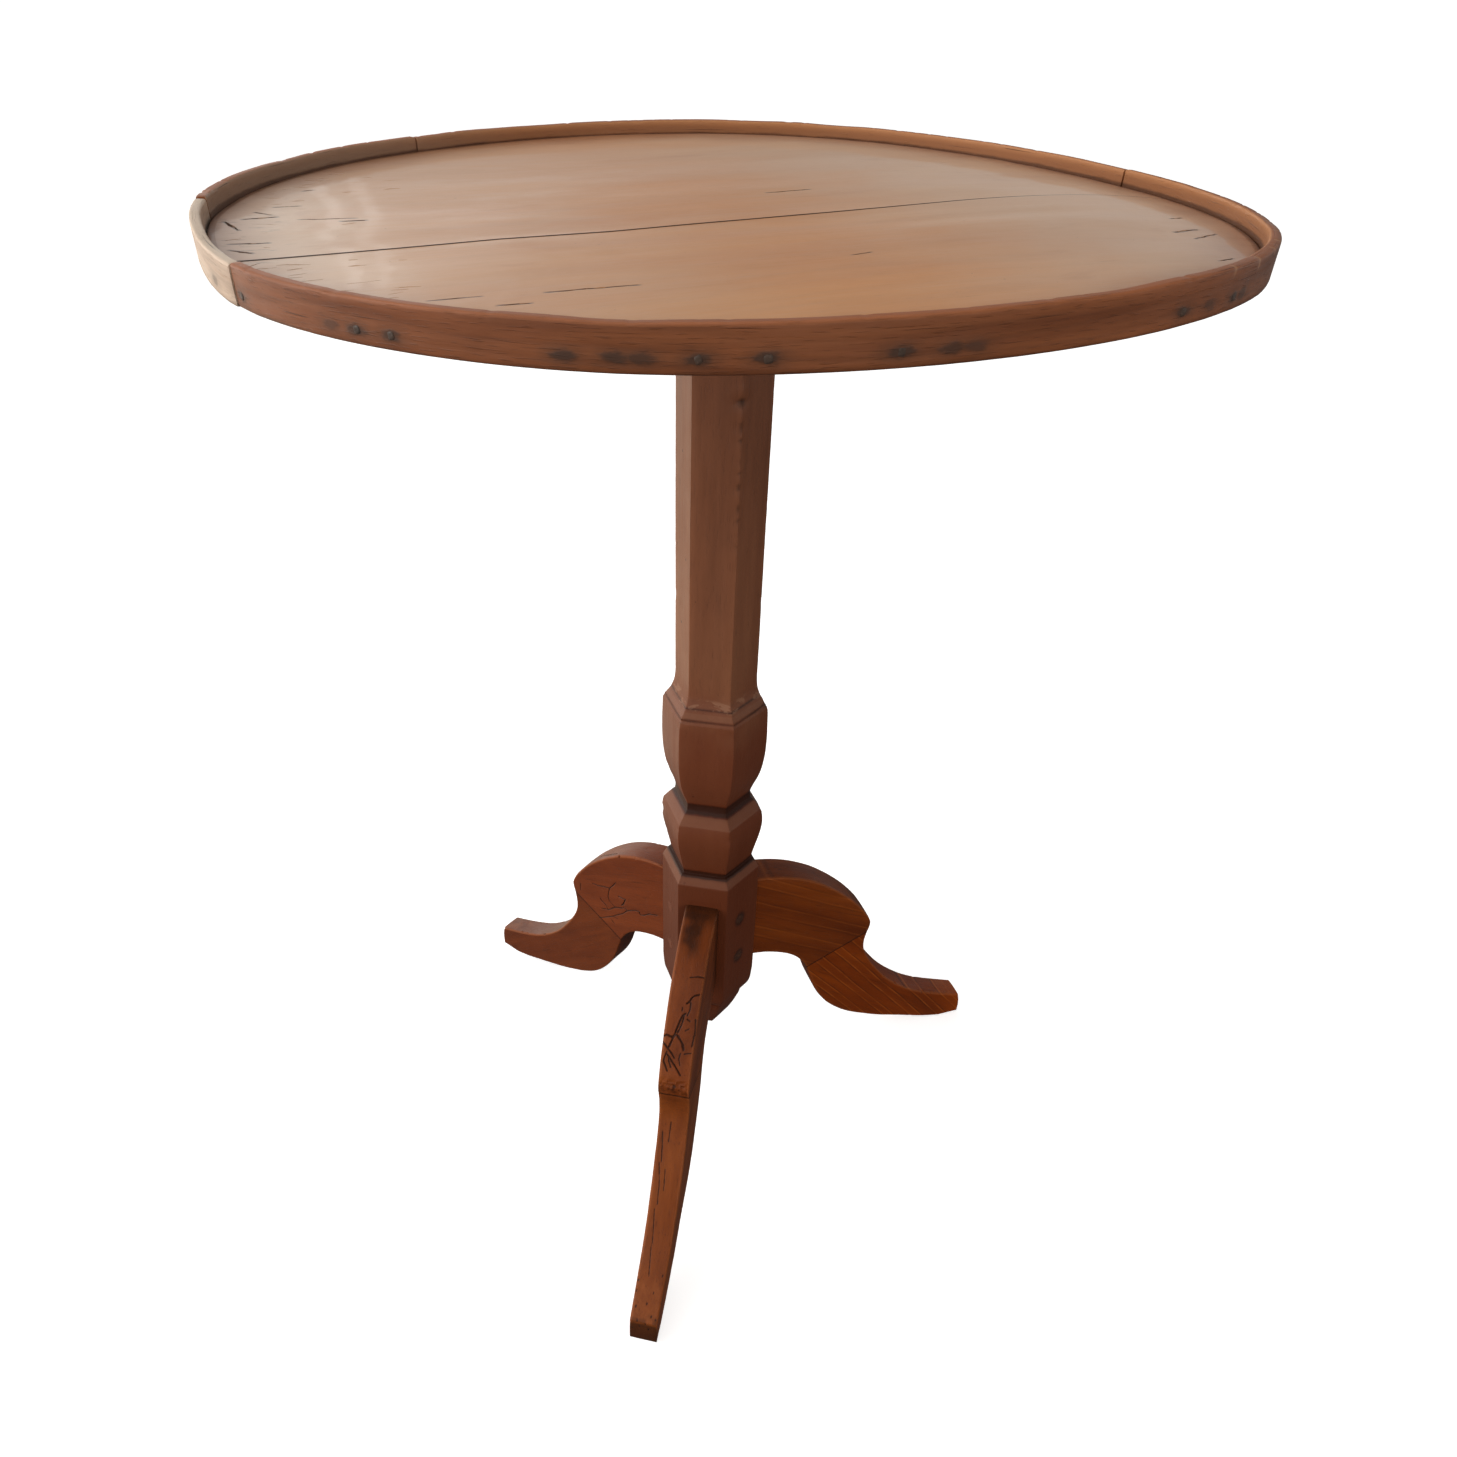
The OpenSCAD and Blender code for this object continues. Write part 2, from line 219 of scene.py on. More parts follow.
class Tree:
    def __init__(self, name, rough=0.45, ior=1.5):
        self.m = bpy.data.materials.new(name)
        self.m.use_nodes = True
        self.n, self.l = self.m.node_tree.nodes, self.m.node_tree.links
        self.n.clear()
        out = self.n.new("ShaderNodeOutputMaterial")
        self.b = self.n.new("ShaderNodeBsdfPrincipled")
        self.b.inputs["Roughness"].default_value = rough
        self.b.inputs["IOR"].default_value = ior
        self.l.new(self.b.outputs[0], out.inputs[0])
        self.obj = self.n.new("ShaderNodeTexCoord").outputs["Object"]

    def put(self, sock, v):
        if isinstance(v, bpy.types.NodeSocket):
            self.l.new(v, sock)
        elif isinstance(v, (tuple, list)) and len(v) == 4 and len(getattr(sock, "default_value", v)) == 3:
            sock.default_value = v[:3]
        else:
            sock.default_value = v

    def attr(self, name, vector=False):
        n = self.n.new("ShaderNodeAttribute")
        n.attribute_name = name
        return n.outputs["Vector"] if vector else n.outputs["Fac"]

    def mapping(self, vec, scale=(1, 1, 1), rot=(0, 0, 0), loc=(0, 0, 0)):
        n = self.n.new("ShaderNodeMapping")
        self.put(n.inputs["Vector"], vec)
        n.inputs["Location"].default_value = loc
        n.inputs["Rotation"].default_value = rot
        n.inputs["Scale"].default_value = scale if isinstance(scale, (tuple, list)) else (scale,) * 3
        return n.outputs[0]

    def noise(self, vec, scale=(1, 1, 1), detail=3.0, rough=0.55, distort=0.0, loc=(0, 0, 0)):
        n = self.n.new("ShaderNodeTexNoise")
        self.put(n.inputs["Vector"], self.mapping(vec, scale, loc=loc))
        n.inputs["Scale"].default_value = 1.0
        n.inputs["Detail"].default_value = detail
        n.inputs["Roughness"].default_value = rough
        n.inputs["Distortion"].default_value = distort
        return n.outputs[0]

    def voronoi(self, vec, scale, feature="F1", rand=1.0):
        n = self.n.new("ShaderNodeTexVoronoi")
        n.feature = feature
        self.put(n.inputs["Vector"], self.mapping(vec, scale))
        n.inputs["Scale"].default_value = 1.0
        n.inputs["Randomness"].default_value = rand
        return n.outputs["Distance"]

    def math(self, op, a, b=0.0, c=0.0, clamp=False):
        n = self.n.new("ShaderNodeMath")
        n.operation = op
        n.use_clamp = clamp
        self.put(n.inputs[0], a)
        self.put(n.inputs[1], b)
        if op in ("MULTIPLY_ADD", "SMOOTH_MIN", "SMOOTH_MAX"):
            self.put(n.inputs[2], c)
        return n.outputs[0]

    def mul(self, a, b):
        return self.math("MULTIPLY", a, b)

    def add(self, a, b):
        return self.math("ADD", a, b)

    def span(self, v, a, b, c=0.0, d=1.0, smooth=True):
        n = self.n.new("ShaderNodeMapRange")
        n.interpolation_type = "SMOOTHSTEP" if smooth else "LINEAR"
        n.clamp = True
        self.put(n.inputs[0], v)
        for k, x in enumerate((a, b, c, d)):
            n.inputs[k + 1].default_value = x
        return n.outputs[0]

    def mix(self, fac, a, b, mode="MIX"):
        n = self.n.new("ShaderNodeMix")
        n.data_type = "RGBA"
        n.blend_type = mode
        n.clamp_factor = True
        self.put(n.inputs[0], fac)
        self.put(n.inputs[6], a)
        self.put(n.inputs[7], b)
        return n.outputs[2]

    def grey(self, v):
        n = self.n.new("ShaderNodeCombineColor")
        for k in range(3):
            self.put(n.inputs[k], v)
        return n.outputs[0]

    def times(self, col, v):
        """Multiplies a colour by a number."""
        return self.mix(1.0, col, self.grey(v), "MULTIPLY")

    def ramp(self, v, stops):
        n = self.n.new("ShaderNodeValToRGB")
        self.put(n.inputs[0], v)
        e = n.color_ramp.elements
        while len(e) < len(stops):
            e.new(0.5)
        for k, (p, c) in enumerate(stops):
            e[k].position, e[k].color = p, c
        return n.outputs[0]

    def sep(self, vec):
        n = self.n.new("ShaderNodeSeparateXYZ")
        self.put(n.inputs[0], vec)
        return n.outputs

    def length(self, vec):
        n = self.n.new("ShaderNodeVectorMath")
        n.operation = "LENGTH"
        self.put(n.inputs[0], vec)
        return n.outputs["Value"]

    def bump(self, height, strength, distance, normal=None):
        n = self.n.new("ShaderNodeBump")
        n.inputs["Strength"].default_value = strength
        n.inputs["Distance"].default_value = distance * MM
        self.put(n.inputs["Height"], height)
        if normal is not None:
            self.put(n.inputs["Normal"], normal)
        return n.outputs[0]

    def largest(self, vals):
        v = vals[0]
        for w in vals[1:]:
            v = self.math("MAXIMUM", v, w)
        return v


def euler_to(x_dir, up=(0, 0, 1)):
    """Rotation that brings the direction x_dir onto +X, for a Mapping node."""
    x = Vector(x_dir).normalized()
    z = Vector(up)
    y = z.cross(x).normalized()
    z = x.cross(y).normalized()
    return tuple(Matrix((x, y, z)).to_euler("XYZ"))


def wood(name, light, mid, dark, x_dir=(1, 0, 0), up=(0, 0, 1), seed=0.0, rough=(0.34, 0.52), fibre=0.12, tone=(260, 34, 34),
         ring=12.0, ring_amount=0.10, pores=0.25, grime=0.25, grime_col=(30, 16, 9), wear_col=None, wear_amount=0.6,
         dirt_and_shade_amount=0.75, bump=1.0, coords=None, laminae=None, extra=None, coat=0.0, spec=0.5, coat_rough=0.1):
    """Old, waxed wood. Grain runs along x_dir, in mm."""
    t = Tree(name)
    t.b.inputs["Specular IOR Level"].default_value = spec
    g = coords(t) if coords else t.mapping(t.obj, (1000, 1000, 1000), euler_to(x_dir, up), (seed * 37.0, seed * 91.0, seed * 53.0))
    wav = t.noise(g, (1 / 190, 1 / 48, 1 / 48), 2, 0.5)
    tn = t.noise(g, (1 / tone[0], 1 / tone[1], 1 / tone[2]), 4, 0.6, 0.3)
    col = t.ramp(tn, [(0.30, dark), (0.50, mid), (0.70, light)])
    # growth rings that wander across the face
    s = t.sep(g)
    q = t.math("MULTIPLY_ADD", wav, 5.2 * ring, t.math("MULTIPLY_ADD", s[2], 0.6, s[1]))
    rg = t.math("SINE", t.mul(q, 2 * math.pi / ring))
    rg2 = t.span(rg, 0.2, 1.0)
    col = t.times(col, t.math("MULTIPLY_ADD", rg2, -ring_amount, 1.0 + ring_amount * 0.3))
    # fibre streaks
    fb = t.noise(g, (1 / 70, 1 / 2.2, 1 / 2.2), 4, 0.68)
    col = t.times(col, t.span(fb, 0.25, 0.75, 1 - fibre, 1 + fibre, smooth=False))
    fb2 = t.noise(g, (1 / 130, 1 / 9, 1 / 9), 3, 0.6, loc=(5, 3, 1))
    col = t.times(col, t.span(fb2, 0.3, 0.7, 1 - fibre * 0.8, 1 + fibre * 0.6))
    # open pores: short dark dashes
    pr = t.noise(g, (1 / 9, 1 / 0.62, 1 / 0.62), 1, 0.4)
    pm = t.span(pr, 0.60, 0.72)
    col = t.mix(t.mul(pm, pores), col, srgb(*grime_col))
    if laminae:
        a, spacing, amt = laminae
        g2 = t.mapping(t.obj, (1000, 1000, 1000), euler_to(a, up))
        s2 = t.sep(g2)
        w2 = t.math("MULTIPLY_ADD", wav, 7.0, s2[2])
        ln = t.math("SINE", t.mul(w2, math.pi / spacing))
        fade = t.span(t.noise(g, (1 / 60, 1 / 30, 1 / 5), 2, 0.5, loc=(2, 2, 2)), 0.36, 0.62, 0.35, 1.0)
        lm = t.span(t.math("ABSOLUTE", ln), 0.0, 0.24, 1.0, 0.0)
        col = t.mix(t.mul(t.mul(lm, fade), amt), col, srgb(*grime_col))
        lm2 = t.span(t.math("ABSOLUTE", t.math("SUBTRACT", ln, 0.42)), 0.0, 0.24, 1.0, 0.0)
        col = t.mix(t.mul(t.mul(lm2, fade), amt * 0.75), col, srgb(190, 104, 42))
    # blotches of polish and grime
    mo = t.noise(g, (1 / 60, 1 / 42, 1 / 42), 5, 0.62, 0.4, loc=(9, 2, 7))
    mm_ = t.span(mo, 0.50, 0.78)
    col = t.mix(t.mul(mm_, grime), col, srgb(*grime_col))
    fine = t.noise(g, (1 / 5, 1 / 3.2, 1 / 3.2), 4, 0.7, loc=(1, 8, 4))
    col = t.mix(t.span(fine, 0.66, 0.80, 0.0, grime * 0.9), col, srgb(*grime_col))
    # worn arrises, and dirt and painted shade in corners and grooves, come from the mesh
    wear, dirt_and_shade = t.attr("wear"), t.attr("dirt_and_shade")
    wn = t.noise(g, (1 / 16, 1 / 7, 1 / 7), 4, 0.7, loc=(4, 4, 9))
    wm = t.span(t.math("MULTIPLY_ADD", wn, 0.9, t.mul(wear, 0.75)), 0.62, 0.98)
    col = t.mix(t.mul(wm, wear_amount), col, wear_col or light)
    dm = t.span(t.math("MULTIPLY_ADD", wn, 0.45, dirt_and_shade), 0.35, 1.15)
    col = t.mix(t.mul(dm, dirt_and_shade_amount), col, srgb(*grime_col))
    height = t.math("MULTIPLY_ADD", pm, -0.7, t.math("MULTIPLY_ADD", fb, 0.5, t.mul(rg2, 0.12)))
    height = t.math("MULTIPLY_ADD", fine, 0.25, height)
    if extra:
        col, height = extra(t, g, col, height)
    t.put(t.b.inputs["Base Color"], col)
    rn = t.math("MULTIPLY_ADD", mo, 0.6, t.mul(fb, 0.4))
    t.put(t.b.inputs["Roughness"], t.span(rn, 0.3, 0.72, rough[0], rough[1]))
    lowb = t.bump(t.noise(g, (1 / 40, 1 / 18, 1 / 18), 2, 0.5), 0.5 * bump, 0.5)
    t.put(t.b.inputs["Normal"], t.bump(height, 0.55 * bump, 0.35, lowb))
    if coat:
        t.b.inputs["Coat Weight"].default_value = coat
        t.b.inputs["Coat Roughness"].default_value = coat_rough
    return t.m


def segment_mask(t, g, segs, soft=0.5):
    """Dark wherever a point lies on one of the segments ((x0,y0),(x1,y1),half width), g in mm."""
    wob = t.noise(g, (1 / 7, 1 / 7, 1 / 7), 2, 0.5)
    out = []
    for (x0, y0), (x1, y1), w in segs:
        L = math.hypot(x1 - x0, y1 - y0)
        a = math.atan2(y1 - y0, x1 - x0)
        cx, cy = (x0 + x1) / 2, (y0 + y1) / 2
        # rotate by -a about Z, after moving the middle to the origin
        c, s = math.cos(-a), math.sin(-a)
        loc = (-(c * cx - s * cy), -(s * cx + c * cy), 0)
        v = t.sep(t.mapping(g, 1.0, (0, 0, -a), loc))
        along_ = t.math("SUBTRACT", t.math("ABSOLUTE", v[0]), L / 2)
        off = t.math("ABSOLUTE", t.math("MULTIPLY_ADD", wob, 2.6, t.math("SUBTRACT", v[1], 1.3)))
        d = t.math("MAXIMUM", t.math("MULTIPLY", along_, 0.22), t.math("SUBTRACT", off, w))
        out.append(t.span(d, 0.0, soft, 1.0, 0.0))
    return t.largest(out)


# ---- colours
RED_L, RED_M, RED_D = srgb(208, 144, 86), srgb(202, 136, 78), srgb(193, 125, 68)

CRACKS = [((-131.6, -149.0), (-96, -151.6), 0.7), ((-152.2, -160.8), (-141.2, -162.2), 0.7), ((31, 25), (56.2, 25.8), 0.7),
          ((4.3, -134.4), (13.1, -132.5), 0.45), ((173, -127.4), (190.9, -121.1), 0.8), ((174, -140.5), (194.6, -129.8), 0.5),
          ((150.7, -183.2), (160.8, -179.4), 0.45), ((-196, 18.8), (-184.5, 18.9), 1.1), ((-209.9, 103.1), (-204.5, 105.4), 0.7),
          ((-235.8, 45.2), (-228.8, 38.6), 1.0), ((-241.6, 27.1), (-226.1, 32.7), 1.2), ((-250, 21.5), (-244, 2.6), 0.9),
          ((-247.8, -22.3), (-231.5, -22.6), 0.8), ((-248, -32.7), (-238.9, -38.9), 0.8), ((-215.1, 25.4), (-188.8, 25.5), 0.6),
          ((-175.7, -143.6), (-156.9, -145.1), 0.5), ((-226, 60), (-214, 62), 0.7), ((196, -96), (205, -93), 0.6)]


def top_extra(seed):
    def f(t, g0, col, height):
        g = t.mapping(t.obj, (1000, 1000, 1000))
        # painted sheen: paler and greyer towards the two ends, towards the back and most of all at the far left
        sx = t.sep(g)[0]
        pn = t.noise(g, (1 / 150, 1 / 110, 1), 3, 0.55, 0.4, loc=(4, 6, 0))
        pale = t.span(t.math("MULTIPLY_ADD", pn, -150.0, sx), -40, -290)
        col = t.mix(t.mul(pale, 0.4), col, srgb(190, 160, 130))
        pale2 = t.span(t.math("MULTIPLY_ADD", pn, 120.0, sx), 30, 200)
        col = t.mix(t.mul(pale2, 0.55), col, srgb(208, 186, 164))
        sy = t.sep(g)[1]
        col = t.mix(t.mul(t.span(t.math("MULTIPLY_ADD", pn, 60.0, sy), 70, 210), 0.36), col, srgb(198, 168, 144))
        col = t.mix(t.mul(t.span(t.math("MULTIPLY_ADD", pn, -60.0, sx), -195, -265), 0.7), col, srgb(226, 204, 182))
        # the underside was never polished, and the splits don't go through
        und = t.span(t.attr("dirt_and_shade"), 0.08, 0.2)
        inv = t.math("MULTIPLY_ADD", und, -1.0, 1.0)
        col = t.mix(t.mul(und, 0.75), col, srgb(142, 102, 68))
        # painted shade and a painted reflection of the rim, with some grime: a reddish darker ring, and a dark band
        # right against the rim
        gx = t.mapping(g, (1, 1, 0), loc=(3.5, 0, 0))
        r = t.length(gx)
        nz = t.noise(g, (1 / 55, 1 / 30, 1 / 55), 4, 0.6)
        rr = t.math("MULTIPLY_ADD", nz, 26.0, r)
        shade_halo = t.span(rr, 226, 272)
        col = t.mix(t.mul(shade_halo, 0.62), col, srgb(118, 60, 34))
        edge = t.span(t.math("MULTIPLY_ADD", nz, 6.0, r), 251, 259)
        col = t.mix(t.mul(edge, 0.7), col, srgb(58, 28, 16))
        # long pale and dark drifts of the polish
        dr = t.noise(g, (1 / 230, 1 / 60, 1), 3, 0.55, 0.6, loc=(seed, 0, 0))
        col = t.mix(t.span(dr, 0.5, 0.75, 0, 0.2), col, srgb(204, 160, 118))
        d2 = t.noise(g, (1 / 90, 1 / 26, 1), 4, 0.6, 0.5, loc=(seed + 7, 3, 0))
        col = t.mix(t.span(d2, 0.56, 0.8, 0, 0.22), col, srgb(150, 88, 52))
        # specks, pin holes and small splits
        sp = t.noise(g, (1 / 3.4, 1 / 1.5, 1), 2, 0.5, loc=(2, 5, 0))
        clus = t.noise(g, (1 / 80, 1 / 60, 1), 2, 0.5, loc=(8, 1, 0))
        spm = t.span(t.math("MULTIPLY_ADD", clus, 0.16, sp), 0.86, 0.90)
        col = t.mix(t.mul(spm, 0.85), col, srgb(40, 22, 15))
        ld = t.noise(g, (1 / 34, 1 / 1.6, 1), 2, 0.5, loc=(3, 9, 0))
        ldm = t.span(t.math("MULTIPLY_ADD", clus, 0.12, ld), 0.80, 0.86)
        col = t.mix(t.mul(ldm, 0.35), col, srgb(80, 42, 24))
        # more small splits towards the left end of the boards
        s = t.sep(g)
        left = t.span(s[0], -205, -245)
        ls = t.noise(g, (1 / 16, 1 / 3.2, 1), 3, 0.6, loc=(1, 1, 0))
        lsm = t.mul(t.mul(t.span(ls, 0.60, 0.70), left), inv)
        col = t.mix(t.mul(lsm, 0.6), col, srgb(48, 26, 17))
        cm = t.mul(segment_mask(t, g, CRACKS), inv)
        col = t.mix(t.mul(cm, 0.7), col, srgb(44, 23, 14))
        # painted shade in the seam, with some grime
        yl = t.math("MULTIPLY_ADD", s[0], -math.tan(math.radians(2.4)), s[1])
        sd = t.math("ABSOLUTE", t.math("ADD", yl, 40.0))
        sm = t.span(t.math("MULTIPLY_ADD", t.span(s[0], 40, 210), 0.35, sd), 0.55, 0.95, 1.0, 0.0)
        col = t.mix(t.mul(sm, 0.9), col, srgb(44, 24, 15))
        height = t.math("MULTIPLY_ADD", cm, -1.6, height)
        height = t.math("MULTIPLY_ADD", lsm, -0.8, height)
        height = t.math("MULTIPLY_ADD", spm, -0.5, height)
        return col, height
    return f


def rim_coords(t):
    return t.attr("guv", vector=True)


def rim_extra(t, g, col, height, arris=(168, 100, 60)):
    s = t.sep(g)                          # arc length, height above the rim's lower edge, depth from the outside
    # pale upper arris: wear, with a painted highlight along the top
    nz = t.noise(g, (1 / 22, 1 / 3, 1 / 3), 4, 0.65)
    up = t.span(t.math("MULTIPLY_ADD", nz, 1.6, s[1]), 16.4, 17.6)
    col = t.mix(t.mul(up, 0.45), col, srgb(*arris))
    # the inner face is paler and yellower, with a painted highlight towards its top and a painted sheen greying it
    # towards the left end
    if arris[0] < 200:
        inn = t.span(s[2], -3.9, -4.75)
        col = t.mix(t.mul(inn, 0.8), col, srgb(158, 106, 70))
        col = t.mix(t.mul(t.mul(inn, t.span(s[1], 12.0, 16.0)), 0.6), col, srgb(190, 132, 86))
        px = t.sep(t.mapping(t.obj, (1000, 1000, 1000)))[0]
        col = t.mix(t.mul(t.mul(inn, t.span(px, -30, -200)), 0.75), col, srgb(140, 118, 101))
        # the outside is darker towards the right end
        blot = t.noise(g, (1 / 24, 1 / 6, 1 / 6), 3, 0.6, loc=(6, 2, 1))
        dk = t.mul(t.span(s[2], -3.0, -1.0), t.span(t.math("MULTIPLY_ADD", blot, 70.0, px), 110, 260))
        col = t.mix(t.mul(dk, 0.5), col, srgb(74, 42, 24))
        # darker low on the inner face, next to the boards
        col = t.mix(t.mul(t.mul(inn, t.span(t.math("MULTIPLY_ADD", nz, 2.2, s[1]), 11.4, 10.0)), 0.75), col, srgb(74, 44, 29))
    # dark line of grime along the lower edge, and knocks
    lo = t.span(t.math("MULTIPLY_ADD", nz, 3.0, s[1]), 3.6, 1.4)
    col = t.mix(t.mul(lo, 0.6), col, srgb(44, 24, 15))
    # iron stains round the nails
    nd = t.sep(t.attr("nail", vector=True))
    wob = t.noise(g, (1 / 7, 1 / 3, 1 / 3), 3, 0.6)
    dx = t.mul(nd[0], 0.19)
    dz = t.mul(t.math("ABSOLUTE", nd[1]), 0.42)
    d = t.math("POWER", t.add(t.math("POWER", dx, 2.0), t.math("POWER", dz, 2.0)), 0.5)
    d = t.math("MULTIPLY_ADD", wob, 1.5, t.math("SUBTRACT", d, 0.75))
    st = t.mul(t.span(d, 1.15, 0.45), nd[2])
    col = t.mix(t.mul(st, 0.8), col, srgb(50, 41, 36))
    st2 = t.mul(t.span(d, 2.4, 0.6), nd[2])
    col = t.mix(t.mul(st2, 0.4), col, srgb(70, 48, 36))
    # long scratches and splits along the strip
    sc = t.noise(g, (1 / 60, 1 / 0.9, 1), 2, 0.5, loc=(7, 2, 0))
    scm = t.span(sc, 0.66, 0.74)
    col = t.mix(t.mul(scm, 0.55), col, srgb(40, 22, 14))
    chip = t.attr("chip")
    col = t.mix(chip, col, srgb(176, 132, 96))
    height = t.math("MULTIPLY_ADD", st, -0.5, height)
    height = t.math("MULTIPLY_ADD", scm, -0.8, height)
    return col, height


def shaft_extra(t, g, col, height):
    # worm holes and small dark marks
    v = t.voronoi(t.obj, (1000 / 17, 1000 / 17, 1000 / 24))
    w = t.span(v, 0.055, 0.035)
    n = t.noise(g, (1 / 60, 1 / 60, 1 / 60), 2, 0.5, loc=(3, 3, 3))
    m = t.mul(w, t.span(n, 0.46, 0.54))
    col = t.mix(t.mul(m, 0.85), col, srgb(30, 16, 10))
    height = t.math("MULTIPLY_ADD", m, -1.4, height)
    gg = t.mapping(t.obj, (1000, 1000, 1000))
    z = t.sep(gg)[2]
    wz = t.noise(gg, 1 / 40, 3, 0.6, loc=(1, 4, 2))
    low = t.span(t.math("MULTIPLY_ADD", wz, 90.0, z), 500, 405)
    col = t.mix(t.mul(low, 0.68), col, srgb(95, 40, 17))
    low2 = t.span(t.math("MULTIPLY_ADD", wz, 30.0, z), 345, 250)
    col = t.mix(t.mul(low2, 0.55), col, srgb(80, 33, 11))
    # painted highlight on the up-facing bevels, paler than the faces; scraped patches under the shaft
    for z0, z1, am, cc in ((311.6, 318.6, 0.3, (130, 88, 64)), (254.0, 261.2, 0.3, (128, 84, 60)), (405.6, 409.0, 0.25, (136, 94, 70))):
        band = t.mul(t.span(z, z0 - 0.4, z0 + 0.4), t.span(z, z1 + 0.4, z1 - 0.4))
        col = t.mix(t.mul(band, am), col, srgb(*cc))
    # painted shade and grime packed into the grooves
    gr = t.noise(gg, (1 / 6, 1 / 6, 1 / 4), 3, 0.6, loc=(2, 2, 8))
    gm = t.span(t.math("MULTIPLY_ADD", gr, 0.5, t.attr("dirt_and_shade")), 0.80, 1.35)
    col = t.mix(t.mul(gm, 0.85), col, srgb(42, 19, 9))
    scr = t.noise(gg, (1 / 9, 1 / 9, 1 / 5), 3, 0.65, loc=(7, 1, 5))
    band = t.mul(t.span(z, 409.6, 411.0), t.span(z, 419.5, 416.5))
    col = t.mix(t.mul(t.mul(band, t.span(scr, 0.52, 0.60)), 0.42), col, srgb(156, 114, 88))
    # dark bruises in the hub where the front leg's pegs leave it
    for zz in (212.0, 170.0):
        v = t.mapping(gg, (1 / 6.0, 1 / 6.0, 1 / 7.0), loc=(-15.3 / 6.0, 29.5 / 6.0, -zz / 7.0))
        d = t.math("MULTIPLY_ADD", wz, 0.5, t.length(v))
        col = t.mix(t.span(d, 1.5, 0.9, 0.0, 0.75), col, srgb(34, 16, 10))
    return col, height


def crazed(t, g, col, height):
    """A net of fine cracks, stronger in patches."""
    gg = t.mapping(t.obj, (1000, 1000, 1000))
    wob = t.noise(gg, 1 / 9, 3, 0.6)
    n = t.n.new("ShaderNodeTexVoronoi")
    n.feature = "DISTANCE_TO_EDGE"
    n.inputs["Scale"].default_value = 1.0
    mv = t.n.new("ShaderNodeVectorMath")
    mv.operation = "MULTIPLY_ADD"
    t.put(mv.inputs[0], t.grey(wob))
    mv.inputs[1].default_value = (0.9, 0.9, 0.9)
    t.put(mv.inputs[2], t.mapping(gg, (1 / 17, 1 / 17, 1 / 17)))
    t.put(n.inputs["Vector"], mv.outputs[0])
    e = t.span(n.outputs["Distance"], 0.035, 0.012)
    patch = t.span(t.noise(gg, 1 / 26, 2, 0.5, loc=(2, 7, 5)), 0.46, 0.58)
    m = t.mul(e, patch)
    col = t.mix(t.mul(m, 0.85), col, srgb(36, 14, 8))
    height = t.math("MULTIPLY_ADD", m, -1.3, height)
    return col, height


def scarred(t, g, col, height):
    """Old tool marks and gouges, dark in the bottom, from the mesh's own attribute."""
    d = t.attr("gouge")
    wob = t.noise(g, (1 / 6, 1 / 2.5, 1 / 2.5), 3, 0.65, loc=(6, 1, 2))
    m = t.span(t.math("MULTIPLY_ADD", wob, 0.8, d), 0.62, 1.05)
    col = t.mix(t.mul(m, 0.85), col, srgb(40, 18, 9))
    ln = t.noise(g, (1 / 40, 1 / 1.1, 1 / 1.1), 2, 0.5, loc=(3, 6, 1))
    lm = t.span(ln, 0.64, 0.74)
    col = t.mix(t.mul(lm, 0.5), col, srgb(44, 20, 10))
    height = t.math("MULTIPLY_ADD", m, -1.0, height)
    return col, height


def iron(name, base=(46, 42, 40), rust=(92, 54, 34), amount=0.5, metal=0.85):
    t = Tree(name, 0.5)
    g = t.mapping(t.obj, (1000, 1000, 1000))
    n1 = t.noise(g, 1 / 6, 5, 0.65)
    n2 = t.noise(g, 1 / 1.6, 4, 0.6, loc=(3, 1, 2))
    col = t.ramp(n1, [(0.30, srgb(*[c * 0.7 for c in base])), (0.55, srgb(*base)), (0.75, srgb(*[min(255, c * 1.5) for c in base]))])
    rm = t.span(t.math("MULTIPLY_ADD", n2, 0.5, t.mul(n1, 0.6)), 0.54, 0.70)
    col = t.mix(t.mul(rm, amount), col, srgb(*rust))
    t.put(t.b.inputs["Base Color"], col)
    t.put(t.b.inputs["Metallic"], t.span(rm, 0.2, 0.8, metal, 0.1))
    t.put(t.b.inputs["Roughness"], t.span(n2, 0.3, 0.7, 0.38, 0.68))
    t.put(t.b.inputs["Normal"], t.bump(t.add(n1, t.mul(n2, 0.5)), 0.5, 0.3))
    return t.m


M_TOP_F = wood("top_front_wood", RED_L, RED_M, RED_D, seed=1.3, rough=(0.30, 0.42), fibre=0.03, tone=(420, 60, 60), ring=26, ring_amount=0.025,
               pores=0.08, grime=0.04, bump=0.3, extra=top_extra(2.0), coat=0.22, coat_rough=0.06)
M_TOP_R = wood("top_rear_wood", RED_L, RED_M, RED_D, seed=4.1, rough=(0.30, 0.42), fibre=0.03, tone=(420, 60, 60), ring=30, ring_amount=0.025,
               pores=0.08, grime=0.04, bump=0.3, extra=top_extra(6.0), coat=0.22, coat_rough=0.06)
RIM_L, RIM_M, RIM_D = srgb(134, 79, 47), srgb(120, 69, 40), srgb(104, 57, 32)
M_RIM = wood("rim_wood", RIM_L, RIM_M, RIM_D, rough=(0.36, 0.55), fibre=0.10, tone=(150, 9, 9), ring=6, ring_amount=0.08, pores=0.2, grime=0.2,
             coords=rim_coords, extra=rim_extra, wear_col=srgb(160, 98, 60), wear_amount=0.28, spec=0.3)
